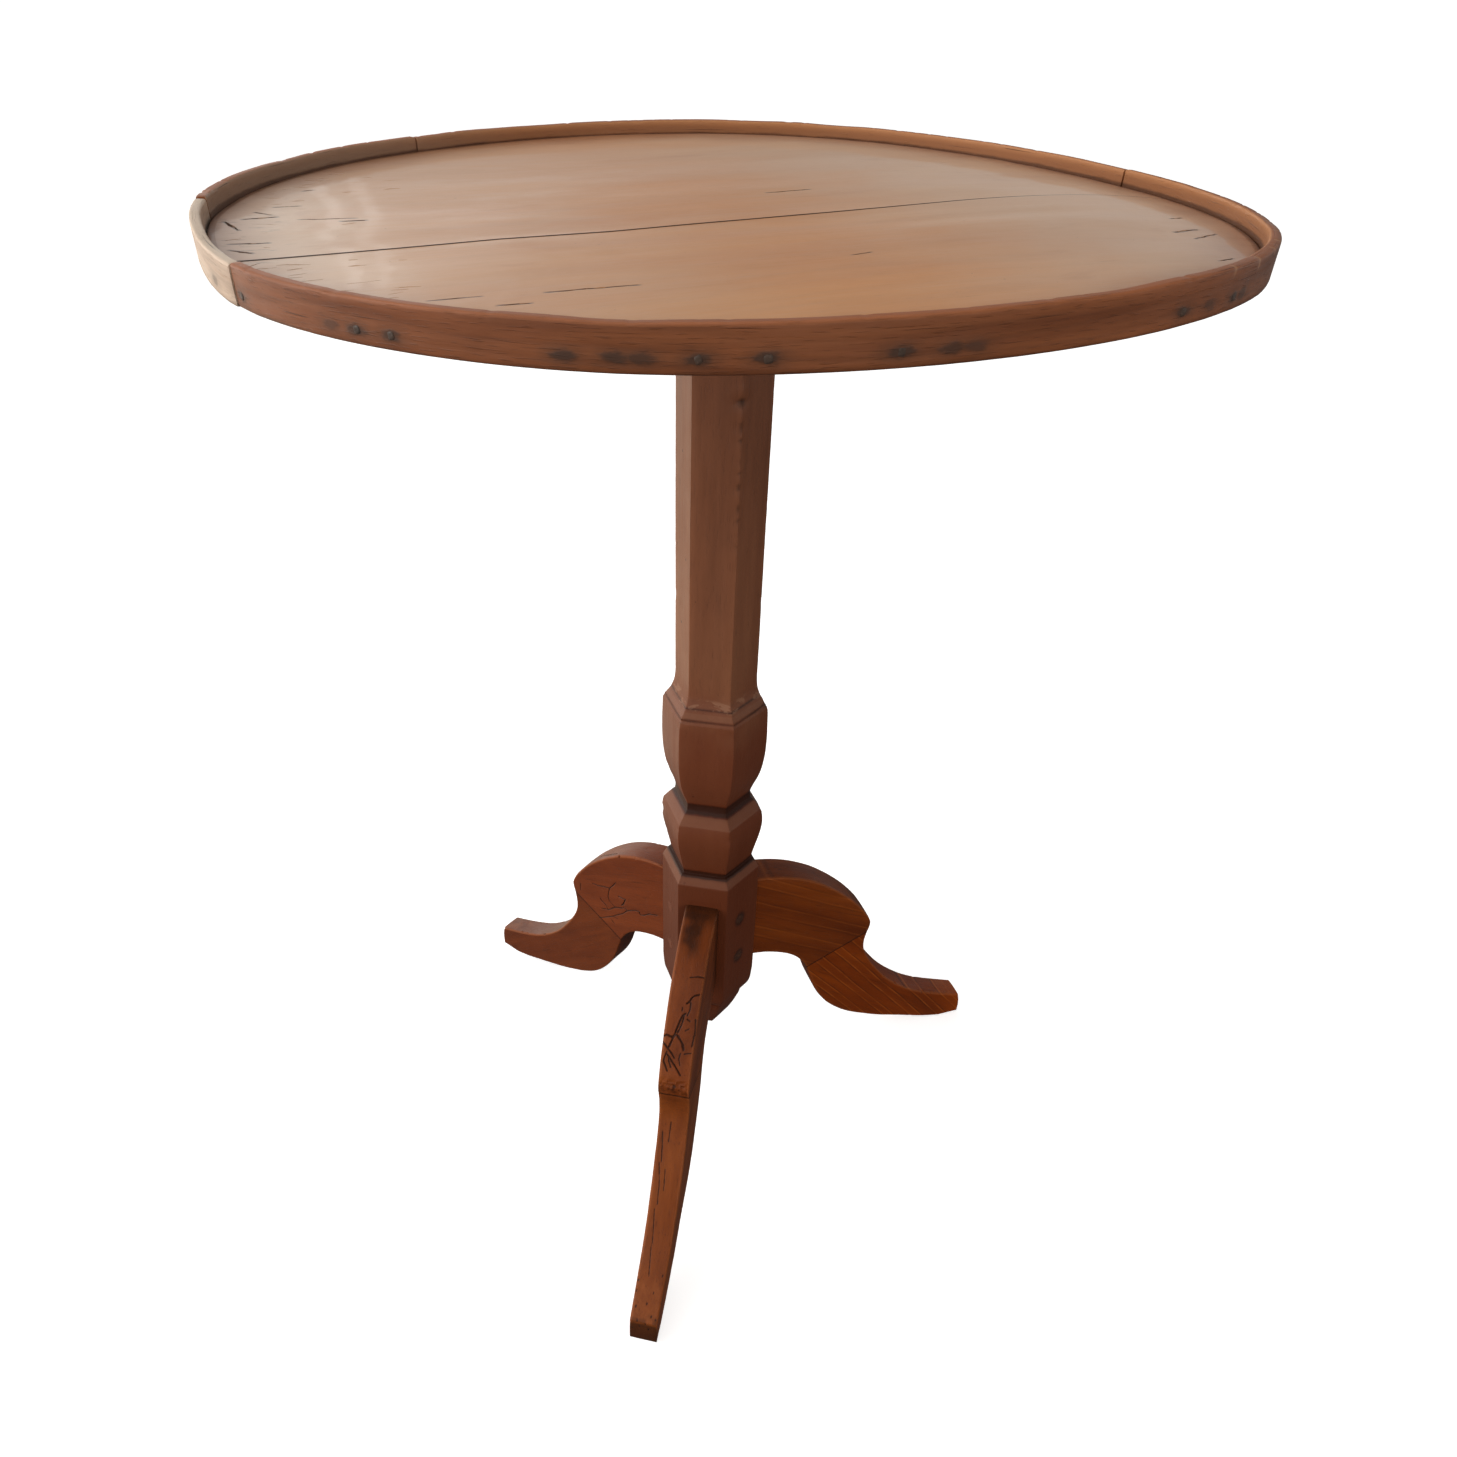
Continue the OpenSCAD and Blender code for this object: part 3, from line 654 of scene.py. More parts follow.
# the repair strip's pale grey colours are a painted sheen
M_PATCH = wood("rim_patch_wood", srgb(206, 184, 162), srgb(186, 160, 138), srgb(156, 128, 106), rough=(0.40, 0.58), fibre=0.10, tone=(120, 8, 8), ring=5,
               ring_amount=0.08, pores=0.2, grime=0.2, coords=rim_coords, extra=lambda t, g, c, h: rim_extra(t, g, c, h, (214, 196, 176)), wear_col=srgb(214, 190, 166), wear_amount=0.4)
M_COL = wood("column_wood", srgb(132, 84, 58), srgb(122, 75, 51), srgb(108, 64, 42), x_dir=(0, 0, 1), up=(0, 1, 0), seed=2.2, rough=(0.34, 0.5),
             fibre=0.045, tone=(300, 40, 40), ring=12, ring_amount=0.03, pores=0.12, grime=0.12, wear_col=srgb(142, 90, 62), wear_amount=0.14,
             dirt_and_shade_amount=0.95, extra=shaft_extra, spec=0.32, bump=0.7)


def glued(az, more=None):
    """A dark line where the knee and the foot are glued together."""
    a = math.radians(az)
    gd = np.array([54.0, 27.0]) / math.hypot(54, 27)
    gn = np.array([-gd[1], gd[0]])
    c = float(gn @ np.array([88, 116.5]))

    def f(t, g, col, height):
        q = t.sep(t.mapping(t.obj, (1000, 1000, 1000), euler_to((gn[0] * math.cos(a), gn[0] * math.sin(a), gn[1]))))
        d = t.math("ABSOLUTE", t.math("SUBTRACT", q[0], c))
        m = t.span(d, 0.35, 1.0, 1.0, 0.0)
        col = t.mix(t.mul(m, 0.8), col, srgb(38, 18, 10))
        if more:
            col, height = more(t, g, col, height)
        return scarred(t, g, col, height)
    return f


def leg_wood(name, az, slope, light, mid, dark, seed, extra=None, laminae=None, grime=0.12, up_fac=1.0):
    a, s = math.radians(az), math.radians(slope)
    d = (math.cos(a) * math.cos(s), math.sin(a) * math.cos(s), -math.sin(s))
    up = (math.cos(a) * math.sin(s), math.sin(a) * math.sin(s), math.cos(s))
    if laminae:
        ang, sp, amt = laminae
        r = math.radians(ang)
        laminae = ((math.cos(a) * math.cos(r), math.sin(a) * math.cos(r), -math.sin(r)), sp, amt)
    return wood(name, light, mid, dark, x_dir=d, up=up, seed=seed, rough=(0.34, 0.52), fibre=0.07, tone=(180, 30, 30), ring=11, ring_amount=0.05,
                pores=0.15, grime=grime, wear_col=srgb(156, 88, 44), wear_amount=0.3, extra=glued(az, extra), laminae=laminae, spec=0.22, bump=0.8)


M_LK = leg_wood("left_knee_wood", 123, 24, srgb(124, 60, 27), srgb(112, 52, 23), srgb(98, 43, 18), 5.1)
M_LF = leg_wood("left_foot_wood", 123, 40, srgb(112, 54, 22), srgb(100, 46, 18), srgb(87, 38, 15), 6.7)
M_FK = leg_wood("front_knee_wood", -120, 24, srgb(130, 66, 24), srgb(115, 55, 20), srgb(95, 43, 15), 7.9)
M_FF = leg_wood("front_foot_wood", -120, 44, srgb(132, 68, 25), srgb(117, 57, 20), srgb(97, 45, 15), 8.3)
M_RK = leg_wood("right_knee_wood", -1.5, 26, srgb(124, 58, 15), srgb(109, 48, 11), srgb(92, 38, 9), 9.6, None, (30, 12.0, 0.25))
M_RF = leg_wood("right_foot_wood", -1.5, 38, srgb(136, 60, 9), srgb(117, 48, 7), srgb(95, 37, 5), 3.4, lambda t, g, c, h: (t.mix(t.span(t.sep(t.mapping(t.obj, (1000, 1000, 1000)))[0], 215, 275, 0.0, 0.55), c, srgb(172, 76, 8)), h), (52, 8.5, 0.6))
M_PEG = wood("peg_wood", srgb(92, 56, 36), srgb(66, 38, 24), srgb(44, 24, 16), x_dir=(0, 1, 0), seed=1.1, rough=(0.45, 0.6), fibre=0.15, tone=(9, 4, 4),
             ring=2.5, ring_amount=0.15, pores=0.3, grime=0.4,
             extra=lambda t, g, c, h: (t.mix(t.span(t.sep(t.mapping(t.obj, (1000, 1000, 1000)))[0], 6, -6, 0.0, 0.85), c, srgb(104, 52, 27)), h))
M_HID = wood("hidden_wood", srgb(168, 128, 88), srgb(146, 106, 70), srgb(118, 80, 50), x_dir=(1, 0, 0), seed=3.7, rough=(0.55, 0.75), fibre=0.14,
             tone=(200, 22, 22), ring=9, ring_amount=0.12, pores=0.3, grime=0.35)
M_HID_Y = wood("batten_wood", srgb(164, 122, 84), srgb(140, 99, 65), srgb(112, 75, 48), x_dir=(0, 1, 0), seed=5.7, rough=(0.55, 0.75), fibre=0.14,
               tone=(200, 22, 22), ring=8, ring_amount=0.12, pores=0.3, grime=0.35)
M_IRON = iron("forged_iron")
M_NAIL = iron("nail_iron", (74, 58, 48), (66, 48, 38), 1.0, 0.12)

# ------------------------------------------------------------------ column

HUB_R = 38.2
C30 = math.cos(math.radians(30))


def column_profile():
    drop = spline([[6, 70], [11, 73], [17, 80], [22, 89.5], [26, 99.5], [28.5, 107], [29.5, 112.5]], 6)
    foot = spline([[31, 115.5], [34.5, 119.5], [37, 127], [HUB_R, 141]], 6)
    bead = spline([[31.7, 264.5], [33.6, 273], [36, 283], [37.8, 292], [38.5, 300], [38.1, 306.5], [37.1, 311.8]], 6)
    bulb = spline([[28, 326], [29.3, 330.5], [32.2, 337.5], [35.4, 347.5], [37.4, 361], [38, 378], [37.3, 402]], 6)
    cove = np.concatenate([[[35.9, 405.2], [35.6, 405.0]], spline([[31.3, 411.2], [29.6, 415.8], [28.7, 420], [28.3, 426]], 6)])
    return np.concatenate([drop, [[29.5, 115.5]], foot, [[HUB_R, 253.5], [34, 261.5], [31.7, 262]], bead,
                           [[30.9, 319.3], [28.5, 321.3]], bulb, [[36.2, 403.4]], cove, [[28.6, 661.0]]])


def build_column():
    P = column_profile()
    L = arclen(P)
    s = np.arange(0, L[-1], 0.25)
    Q = along(P, L, s)
    # soften every cut edge a little
    k = np.exp(-0.5 * (np.arange(-6, 7) * 0.25 / 0.28) ** 2)
    k /= k.sum()
    pad = np.concatenate([np.repeat(Q[:1], 6, 0), Q, np.repeat(Q[-1:], 6, 0)])
    Q = np.stack([np.convolve(pad[:, c], k, "valid") for c in (0, 1)], -1)
    Q[0], Q[-1] = P[0], P[-1]
    # fewer rings where the outline is straight
    d1 = np.gradient(Q, axis=0)
    ang = np.unwrap(np.arctan2(d1[:, 1], d1[:, 0]))
    curv = np.abs(np.gradient(ang)) / 0.25
    dens = 0.25 * (1 / 2.4 + np.minimum(curv * 4.0, 2.6))
    cum = np.cumsum(dens)
    n = int(cum[-1])
    idx = np.interp(np.linspace(cum[0], cum[-1], n), cum, np.arange(len(cum)))
    R = np.interp(idx, np.arange(len(Q)), Q[:, 0])
    Z = np.interp(idx, np.arange(len(Q)), Q[:, 1])
    # painted shade and grime lie in the grooves
    hollow = np.zeros_like(Z)
    for z0, wd, am in ((262.6, 2.9, 1.8), (323.4, 4.6, 1.8), (411.6, 1.0, 0.75), (404.4, 1.1, 0.7), (114.0, 2.2, 0.8), (416.5, 4.0, 0.25), (331.0, 5.0, 0.25)):
        hollow = np.maximum(hollow, am * np.exp(-((Z - z0) / wd) ** 2))
    hollow = np.minimum(hollow, 1.3)
    nf, nc = 8, 5
    rows, wears, dirts_and_shade = [], [], []
    for i, (r, z) in enumerate(zip(R, Z)):
        pts, wr = [], []
        for c in range(6):
            # corner c at 30 + 60 c degrees; rounding differs along the height
            az = math.radians(30 + 60 * c)
            q = 0.75 + 0.45 * float(vnoise([[z / 38.0, c * 7.1, 0.3]], 5)[0]) + 0.35 * float(vnoise([[z / 9.0, c * 3.3, 2.0]], 6)[0])
            q = max(0.3, q) * min(1.0, r / 24.0)
            mid = np.array([math.cos(az), math.sin(az)])
            cen = mid * (r - q / math.sin(math.radians(60)))
            for k2 in range(nc):
                a = az + math.radians(-30 + 60 * k2 / (nc - 1))
                pts.append(cen + q * np.array([math.cos(a), math.sin(a)]))
                wr.append(1.0)
            # flat to the next corner
            q2 = q
            az2 = math.radians(90 + 60 * c)
            a0 = pts[-1]
            nrm = math.radians(60 + 60 * c)
            tdir = np.array([-math.sin(nrm), math.cos(nrm)])
            half = r * 0.5 - q2 * math.tan(math.radians(30))
            for k2 in range(1, nf):
                f = k2 / nf
                pts.append(a0 + tdir * (2 * half) * f)
                wr.append(max(0.0, 1 - min(f, 1 - f) * 2 * half / 1.6))
        pts = np.array(pts)
        rows.append(np.c_[pts, np.full(len(pts), z)])
        wears.append(wr)
        dirts_and_shade.append([hollow[i]] * len(pts))
    V = np.array(rows)
    nr, m = V.shape[:2]
    W, D = np.array(wears), np.array(dirts_and_shade)
    # planed by eye: slow waves on every face, finer tool marks, dents
    rad = V[..., :2] / np.maximum(np.hypot(V[..., 0], V[..., 1])[..., None], 1e-6)
    face = np.round((np.degrees(np.arctan2(V[..., 1], V[..., 0])) % 360) / 60.0)
    wav = 0.18 * vnoise(np.stack([V[..., 2] / 90, face * 5.3, np.zeros_like(face)], -1), 9)
    wav += 0.05 * vnoise(np.stack([V[..., 2] / 24, V[..., 0] / 18, V[..., 1] / 18], -1), 12)
    wav += 0.02 * vnoise(V / 5.0, 13)
    # small nicks along the arrises
    nick = np.clip(vnoise(V / np.array([5, 5, 7.0]), 21) - 0.6, 0, 1) * 1.0 * W ** 2
    # the front right arris is splintered near its top
    azd = (np.degrees(np.arctan2(V[..., 1], V[..., 0])) + 90 + 180) % 360 - 180
    spl = np.exp(-(azd / 2.6) ** 2) * sstep(470, 540, V[..., 2]) * np.clip(0.25 + vnoise(np.stack([V[..., 2] / 3.2, V[..., 2] * 0, V[..., 2] * 0], -1), 25), 0, 1)
    nick = np.maximum(nick, spl * 0.6)
    wav -= np.minimum(nick, 1.2)
    D = np.maximum(D, np.clip(nick, 0, 1) * 0.8)

    def chip(az, z0, hz, depth):
        a = np.degrees(np.arctan2(V[..., 1], V[..., 0]))
        da = (a - az + 180) % 360 - 180
        arc = np.radians(da) * np.hypot(V[..., 0], V[..., 1])
        rough_ = 1 + 0.35 * vnoise(V / 2.3, 31)
        d = np.sqrt((arc / 4.2) ** 2 + ((V[..., 2] - z0) / hz) ** 2) * rough_
        return depth * np.clip(1.15 - d, 0, 1) ** 0.7
    ch = chip(-90, 617, 3.5, 1.15) + chip(-30, 404, 4, 1.2) + chip(-150, 402, 3, 0.7) + chip(-90, 262, 3, 0.9) + chip(90, 520, 7, 1.5) \
        + chip(150, 300, 4, 1.0) + chip(30, 560, 5, 1.1) + chip(-30, 312, 3, 1.0) + chip(-90, 305, 3, 0.6) + chip(-90, 396, 6, 0.5)
    wav -= ch
    D = np.maximum(D, np.clip(ch / 1.6, 0, 1) * 0.9)
    V[..., :2] += rad * wav[..., None]
    # darker where the legs meet the hub
    for az in (-120.0, 123.0, -1.5):
        u = np.array([math.cos(math.radians(az)), math.sin(math.radians(az))])
        tt = np.abs(V[..., 0] * -u[1] + V[..., 1] * u[0])
        front = (V[..., 0] * u[0] + V[..., 1] * u[1]) > 20
        near = np.clip(1 - (tt - 13) / 4.0, 0, 1) * front * (V[..., 2] > 143) * (V[..., 2] < 240)
        D = np.maximum(D, near * 0.35)
    verts = V.reshape(-1, 3)
    faces = ring_faces(nr, m)
    # lower tip
    n0 = len(verts)
    tenon = np.array([[16.95 * math.cos(a), 16.95 * math.sin(a)] for a in np.radians(30 + np.interp(np.arange(m), [0, m], [-30, 330]))])
    T = [np.c_[tenon, np.full(m, z)] for z in (661.0, 693.9, 694.5)]
    T[2][:, :2] *= 0.97
    verts = np.concatenate([verts, [[0, 0, 69.4]]] + T + [[[0, 0, 694.55]]])
    faces += [(n0, (j + 1) % m, j) for j in range(m)]
    b = n0 + 1
    last = (nr - 1) * m
    faces += [(last + j, last + (j + 1) % m, b + (j + 1) % m, b + j) for j in range(m)]
    faces += ring_faces(3, m, b)
    tip = len(verts) - 1
    faces += [(b + 2 * m + j, b + 2 * m + (j + 1) % m, tip) for j in range(m)]
    wear = np.concatenate([W.ravel(), [0.3], np.zeros(3 * m), [0]])
    dirt_and_shade = np.concatenate([D.ravel(), [0.3], np.full(3 * m, 0.3), [0.3]])
    return new_piece("old_column", "pedestal", M_COL, verts, faces, layers={"wear": wear, "dirt_and_shade": dirt_and_shade}, angle=16, replaces=("column",))


build_column()

# ------------------------------------------------------------------ legs

LEG_TOP = [[20, 234.5], [33, 234], [47, 232], [61, 228.5], [74, 223.5], [88, 216], [101, 206.5], [113, 196], [125, 183.5], [136, 169], [143, 157.5]]
LEG_BROW = [[144.2, 154], [143.6, 149], [141.9, 142.5], [140.4, 132], [142, 119.5], [148.5, 105], [158, 90], [169, 75], [183, 61], [202, 46.5],
            [225, 34.5], [252.5, 23]]
LEG_UNDER = [[235, 0], [229, 1.5], [216, 5.5], [200, 11.5], [184, 17.5], [168, 23.5], [152, 31], [137, 39], [124, 48.5], [112, 61], [101.5, 77],
             [94.5, 93], [90, 108], [85, 120.5], [78, 130.5], [69, 138], [58, 143.5], [46, 147.5], [33, 149.5], [20, 150]]
T_CH = np.concatenate([spline(LEG_TOP, 8), spline(LEG_BROW, 8), [[254.2, 16], [255, 9], [255, 3], [254.6, 1.2]]])
B_CH = np.concatenate([spline(LEG_UNDER, 8)[::-1], [[240, 0], [247, 0], [252, 0], [253.8, 0]]])
T_L, B_L = arclen(T_CH), arclen(B_CH)
PAIRS = [((20, 234.5), (20, 150)), ((47, 232), (40, 148.7)), ((74, 223.5), (60, 142.6)), ((101, 206.5), (78, 130.5)), ((125, 183.5), (90, 108)),
         ((143, 157.5), (97.5, 86)), ((141.9, 142.5), (101.5, 77)), ((140.4, 132), (107, 68.5)), ((148.5, 105), (121, 51.5)), ((169, 75), (141, 36.6)),
         ((202, 46.5), (176, 20.5)), ((225, 34.5), (204, 10)), ((252.5, 23), (237, 0)), ((254.6, 1.2), (253.8, 0))]


def chain_at(P, L, p):
    return L[np.argmin(np.hypot(P[:, 0] - p[0], P[:, 1] - p[1]))]


def leg_sections(fine):
    st, sb = [], []
    for (t0, b0), (t1, b1) in zip(PAIRS[:-1], PAIRS[1:]):
        a, b = chain_at(T_CH, T_L, t0), chain_at(T_CH, T_L, t1)
        c, d = chain_at(B_CH, B_L, b0), chain_at(B_CH, B_L, b1)
        step = fine[2] if (a + b) / 2 > fine[0] and (a + b) / 2 < fine[1] else 1.5
        n = max(3, int((b - a) / step))
        f = np.arange(n) / n
        st.append(a + (b - a) * f)
        sb.append(c + (d - c) * f)
    st.append([T_L[-1]])
    sb.append([B_L[-1]])
    return np.concatenate(st), np.concatenate(sb)


def to_lines(P, Q, lines):
    """Distance from points (P, Q) to the nearest of some broken lines, with each line's own depth."""
    best, dep = np.full(P.shape, 99.0), np.zeros(P.shape)
    for width, depth, pts in lines:
        for (x0, y0), (x1, y1) in zip(pts[:-1], pts[1:]):
            vx, vy = x1 - x0, y1 - y0
            f = np.clip(((P - x0) * vx + (Q - y0) * vy) / max(vx * vx + vy * vy, 1e-9), 0, 1)
            d = np.hypot(P - x0 - f * vx, Q - y0 - f * vy) / width
            m = d < best
            best = np.where(m, d, best)
            dep = np.where(m, depth, dep)
    return best, dep


# gouges in the front knee: half width, depth, then distance along the leg's upper side and across it
FRONT_SCARS = [
    (0.7, 0.5, [(72.7, 1.4), (71.2, 7.5), (71.1, 11.7)]), (0.9, 0.9, [(91.8, 2.0), (90.1, 3.9), (87.2, 5.2), (85.2, 6.9), (84.0, 10.2)]),
    (0.7, 0.6, [(95.3, -0.6), (97.3, -0.6)]),
    (1.0, 1.0, [(98.8, 2.4), (100.9, 0.3), (103.7, -0.7), (107.3, -1.6), (110.8, -2.5), (114.3, -3.3), (118.7, -4.8), (124.4, -6.5)]),
    (0.8, 0.7, [(100, 1.5), (104.1, 1.1), (109, 0.1), (113.3, -1.4)]),
    (1.0, 0.9, [(117.6, -12.2), (116, -9.4), (117.1, -5.4), (114.8, -1.9), (117.7, 0.6), (120.7, 3.1), (124.6, 4.3)]),
    (1.5, 1.2, [(121.5, 3.6), (124.8, 4.3)]),
    (0.9, 0.8, [(121.5, -12), (123.5, -9.4), (126.5, -6.5), (129.4, -3.4), (131.9, -1.7)]),
    (0.9, 0.8, [(128, -7.5), (131.7, -8.7), (135.3, -9.3), (138.5, -7.6), (142.4, -5.7)]),
    (0.9, 0.9, [(130, -7.2), (133, -4.4), (136.1, -1.9), (137.9, -0.3), (141, 2.1), (144.1, 4.2)]),
    (0.7, 0.6, [(131, -5.8), (134.5, -5.6), (139, -3.5)]), (0.8, 0.7, [(103, 4.1), (104, 6.3)]), (0.7, 0.5, [(111.1, 3.9), (109.3, 6.4)]),
    (0.7, 0.5, [(90.6, 5.0), (96, 5.1), (100.3, 3.7)]), (0.8, 0.6, [(102, 10.2), (107, 10.8), (112.6, 11.0), (121.6, 10.1)]),
    (0.6, 0.5, [(127.7, 2.6), (132, 1.7), (136.6, 3.0)]), (0.6, 0.4, [(127.8, 5.4), (126.4, 10.1)]),
    (0.5, 0.3, [(198, -1.5), (214, -2.0)]), (0.5, 0.35, [(206, -7.4), (218, -6.4), (230, -5.6)]), (0.5, 0.3, [(231, -7.2), (246, -5.2), (262, -4.4)]),
    (0.45, 0.3, [(266, -6), (279, -4.6), (290, -3.5)]), (0.4, 0.3, [(292, -4), (312, -2)]), (0.4, 0.3, [(236, -2), (252, -1)]),
    (0.9, 0.4, [(316, -9.3), (317, -9.1)]), (0.8, 0.4, [(330, 0.2), (331, 0.4)]), (0.8, 0.4, [(333, -7.6), (334, -7.4)]),
    (0.7, 0.4, [(338, 5), (338.6, 5.2)]), (0.7, 0.4, [(342, -5), (343, -4.6)]), (0.6, 0.3, [(322, 3.5), (322.5, 3.7)]), (0.7, 0.4, [(326, -11), (326.8, -10.8)]), (0.6, 0.4, [(336, -10.5), (336.6, -10.2)]),
    (0.8, 0.5, [(344, 1.5), (345, 1.8)]), (0.7, 0.4, [(347, -3), (347.6, -2.7)]), (0.8, 0.5, [(349, 4), (350, 4.4)]), (0.6, 0.4, [(340, 8.5), (340.5, 8.8)]),
    (0.7, 0.4, [(351, -8), (352, -7.6)]), (0.6, 0.3, [(310, 8), (310.5, 8.3)]), (0.5, 0.3, [(300, -9), (300.6, -8.8)])]
# a split on the left leg's upper side
LEFT_TOP = [(0.8, 0.7, [(104.1, 4.7), (100.2, 3.5), (92, 6.3), (84.1, 7.3), (75, 8)]), (0.5, 0.4, [(116, 5.6), (111, 5.9)])]
# the net of cracks in the side of the left knee, in the plane of the leg
LEFT_CRACKS = [
    (0.7, 0.45, [(118.9, 166.3), (111.9, 167.6), (103.7, 171), (98.3, 172.8), (94.1, 178.3), (91, 183.6)]),
    (0.6, 0.4, [(98.3, 172.8), (100.1, 165.7), (100.8, 161.2), (99.5, 156.9)]), (0.8, 0.6, [(110.2, 152.9), (108.8, 151.2), (103.9, 149.1)]),
    (0.9, 0.7, [(88.2, 169), (82.4, 169.6), (80, 170.6), (82.6, 163.4), (84.7, 160.6)]),
    (0.7, 0.6, [(106.8, 131.6), (97.4, 138.7), (88.1, 147.2), (84.1, 150.8), (79, 157.1), (73.1, 161.9), (68.2, 164.9), (64.4, 165.8), (63.1, 162.7),
                (58.8, 164.9), (53.1, 170.1), (48.5, 172), (43.8, 174.5)]),
    (0.6, 0.4, [(97.6, 134.4), (94.7, 132.1)]), (0.6, 0.3, [(133.7, 157.4), (134.3, 148.8)]), (0.7, 0.5, [(82.8, 159.3), (79, 158.7)]),
    (0.7, 0.4, [(109.3, 141.5), (101.1, 144.6), (92.8, 153), (83.8, 157.6)]), (0.6, 0.4, [(113.1, 127.6), (106.8, 131.6)]),
    (0.5, 0.3, [(101.1, 144.6), (103.9, 149.1)]), (0.5, 0.3, [(92.8, 153), (99.5, 156.9)]), (0.5, 0.3, [(96, 140), (90, 141)])]


def build_leg(tag, az, face_az, mats, seed, gouges=0.0, scars=(), cracks=(), fine=(0, 0, 1.5), n_top=20, n_plus=15):
    ST, SB = leg_sections(fine)
    T, B = along(T_CH, T_L, ST), along(B_CH, B_L, SB)
    n_side, n_c, n_bot = 15, 5, 8
    rows, W, S_arr, F_top, F_plus = [], [], [], [], []
    for i in range(len(T)):
        t, b = T[i], B[i]
        h = np.hypot(*(t - b))
        e = (t - b) / max(h, 1e-6)
        q1, q2 = min(1.5, 0.42 * h), min(1.3, 0.42 * h)
        wt = np.interp(t[0], [18, 257], [13, 10.25])
        wb = np.interp(b[0], [18, 257], [13, 10.25])
        pts, wr, ft, fp = [], [], [], []

        def put(tv, v, w, f, plus=0.0):
            p = b + e * v
            pts.append((p[0], tv, p[1]))
            wr.append(w)
            ft.append(f)
            fp.append(plus)
        # side +t from bottom to top, top, side -t down, bottom
        for k in range(n_plus):
            f = k / n_plus
            v = q2 + (h - q1 - q2) * f
            w = wb + (wt - wb) * f
            put(w, v, max(0, 1 - min(v, h - v) / 1.8), 0.0, 1.0)
        for k in range(n_c):
            a = math.pi / 2 * k / n_c
            put(wt - q1 + q1 * math.cos(a), h - q1 + q1 * math.sin(a), 1.0, 0.3 + 0.7 * k / n_c)
        for k in range(n_top):
            f = k / n_top
            x = (wt - q1) * (1 - 2 * f)
            put(x, h + 0.35 * (1 - (x / wt) ** 2), max(0, 1 - (wt - abs(x)) / 2.4), 1.0)
        for k in range(n_c):
            a = math.pi / 2 * k / n_c
            put(-(wt - q1) - q1 * math.sin(a), h - q1 + q1 * math.cos(a), 1.0, 1.0 - 0.7 * k / n_c)
        for k in range(n_side):
            f = k / n_side
            v = h - q1 - (h - q1 - q2) * f
            w = wt + (wb - wt) * f
            put(-w, v, max(0, 1 - min(v, h - v) / 1.8), 0.0)
        for k in range(n_c):
            a = math.pi / 2 * k / n_c
            put(-(wb - q2) - q2 * math.cos(a), q2 - q2 * math.sin(a), 0.6, 0.0)
        for k in range(n_bot):
            f = k / n_bot
            put(-(wb - q2) * (1 - 2 * f), 0.0, 0.0, 0.0)
        for k in range(n_c):
            a = math.pi / 2 * k / n_c
            put((wb - q2) + q2 * math.sin(a), q2 - q2 * math.cos(a), 0.6, 0.0)
        rows.append(pts)
        W.append(wr)
        F_top.append(ft)
        F_plus.append(fp)
        S_arr.append([ST[i]] * len(pts))
    V, W, F, S, PL = np.array(rows), np.array(W), np.array(F_top), np.array(S_arr), np.array(F_plus)
    nr, m = V.shape[:2]
    # hand carving: slow swells, finer marks, bruised arrises
    du = np.roll(V, -1, 1) - np.roll(V, 1, 1)
    dv = np.gradient(V, axis=0)
    N = np.cross(du, dv)
    N /= np.maximum(np.linalg.norm(N, axis=-1, keepdims=True), 1e-9)
    cen = V.mean(1, keepdims=True)
    if np.mean(np.sum(N * (V - cen), -1)) < 0:
        N = -N
    disp = 0.26 * vnoise(V / 34.0, seed) + 0.08 * vnoise(V / 12.0, seed + 1) + 0.02 * vnoise(V / 4.0, seed + 2)
    nick = np.clip(vnoise(V / 4.5, seed + 3) - 0.56, 0, 1) * 3.0 * W ** 2
    disp -= np.minimum(nick, 1.3)
    G = np.clip(nick, 0, 1) * 0.6
    # the knee's lower edge is chewed on every leg, most on the front one
    brow = np.exp(-((V[..., 0] - 143.5) / 3.5) ** 2) * sstep(138, 146, V[..., 2]) * sstep(166, 156, V[..., 2]) * F
    disp -= brow * (0.5 + gouges * 1.3) * (0.55 + 0.9 * np.abs(vnoise(V / 3.4, seed + 7)))
    G = np.maximum(G, brow * (0.2 + 0.15 * gouges) * np.abs(vnoise(V / 4.0, seed + 8)) * 1.5)
    S_KNEE = chain_at(T_CH, T_L, (143, 157.5))
    if gouges:
        # flakes broken off the knee's lower edge
        fl = np.clip(vnoise(np.stack([V[..., 1] / 2.6, S / 3.0, S * 0], -1), seed + 9) - 0.1, 0, 1) * F * np.exp(-((S - S_KNEE - 1.5) / 2.6) ** 2)
        disp -= fl * 1.6
        G = np.maximum(G, fl * 0.12)
    wob = 0.35 * vnoise(V / 2.2, seed + 11)
    for lines, P_, Q_, on in ((scars, S, V[..., 1], F > 0.45), (cracks, V[..., 0], V[..., 2], PL > 0.5)):
        if lines:
            d, dep = to_lines(P_, Q_, [(w_ * 0.62, h_ * 0.8, p_) for w_, h_, p_ in lines])
            d = d + wob
            disp -= np.where(on, dep * np.clip(1.25 - d, 0, 1), 0.0)
            # a raised lip beside the deeper ones
            disp += np.where(on, 0.12 * np.exp(-((d - 1.9) / 0.5) ** 2) * (dep > 0.6), 0.0)
            G = np.maximum(G, np.where(on, np.clip(1.5 - d, 0, 1) * 1.3, 0.0))
    V = V + N * disp[..., None]
    V[..., 2] = np.maximum(V[..., 2], 0.0)
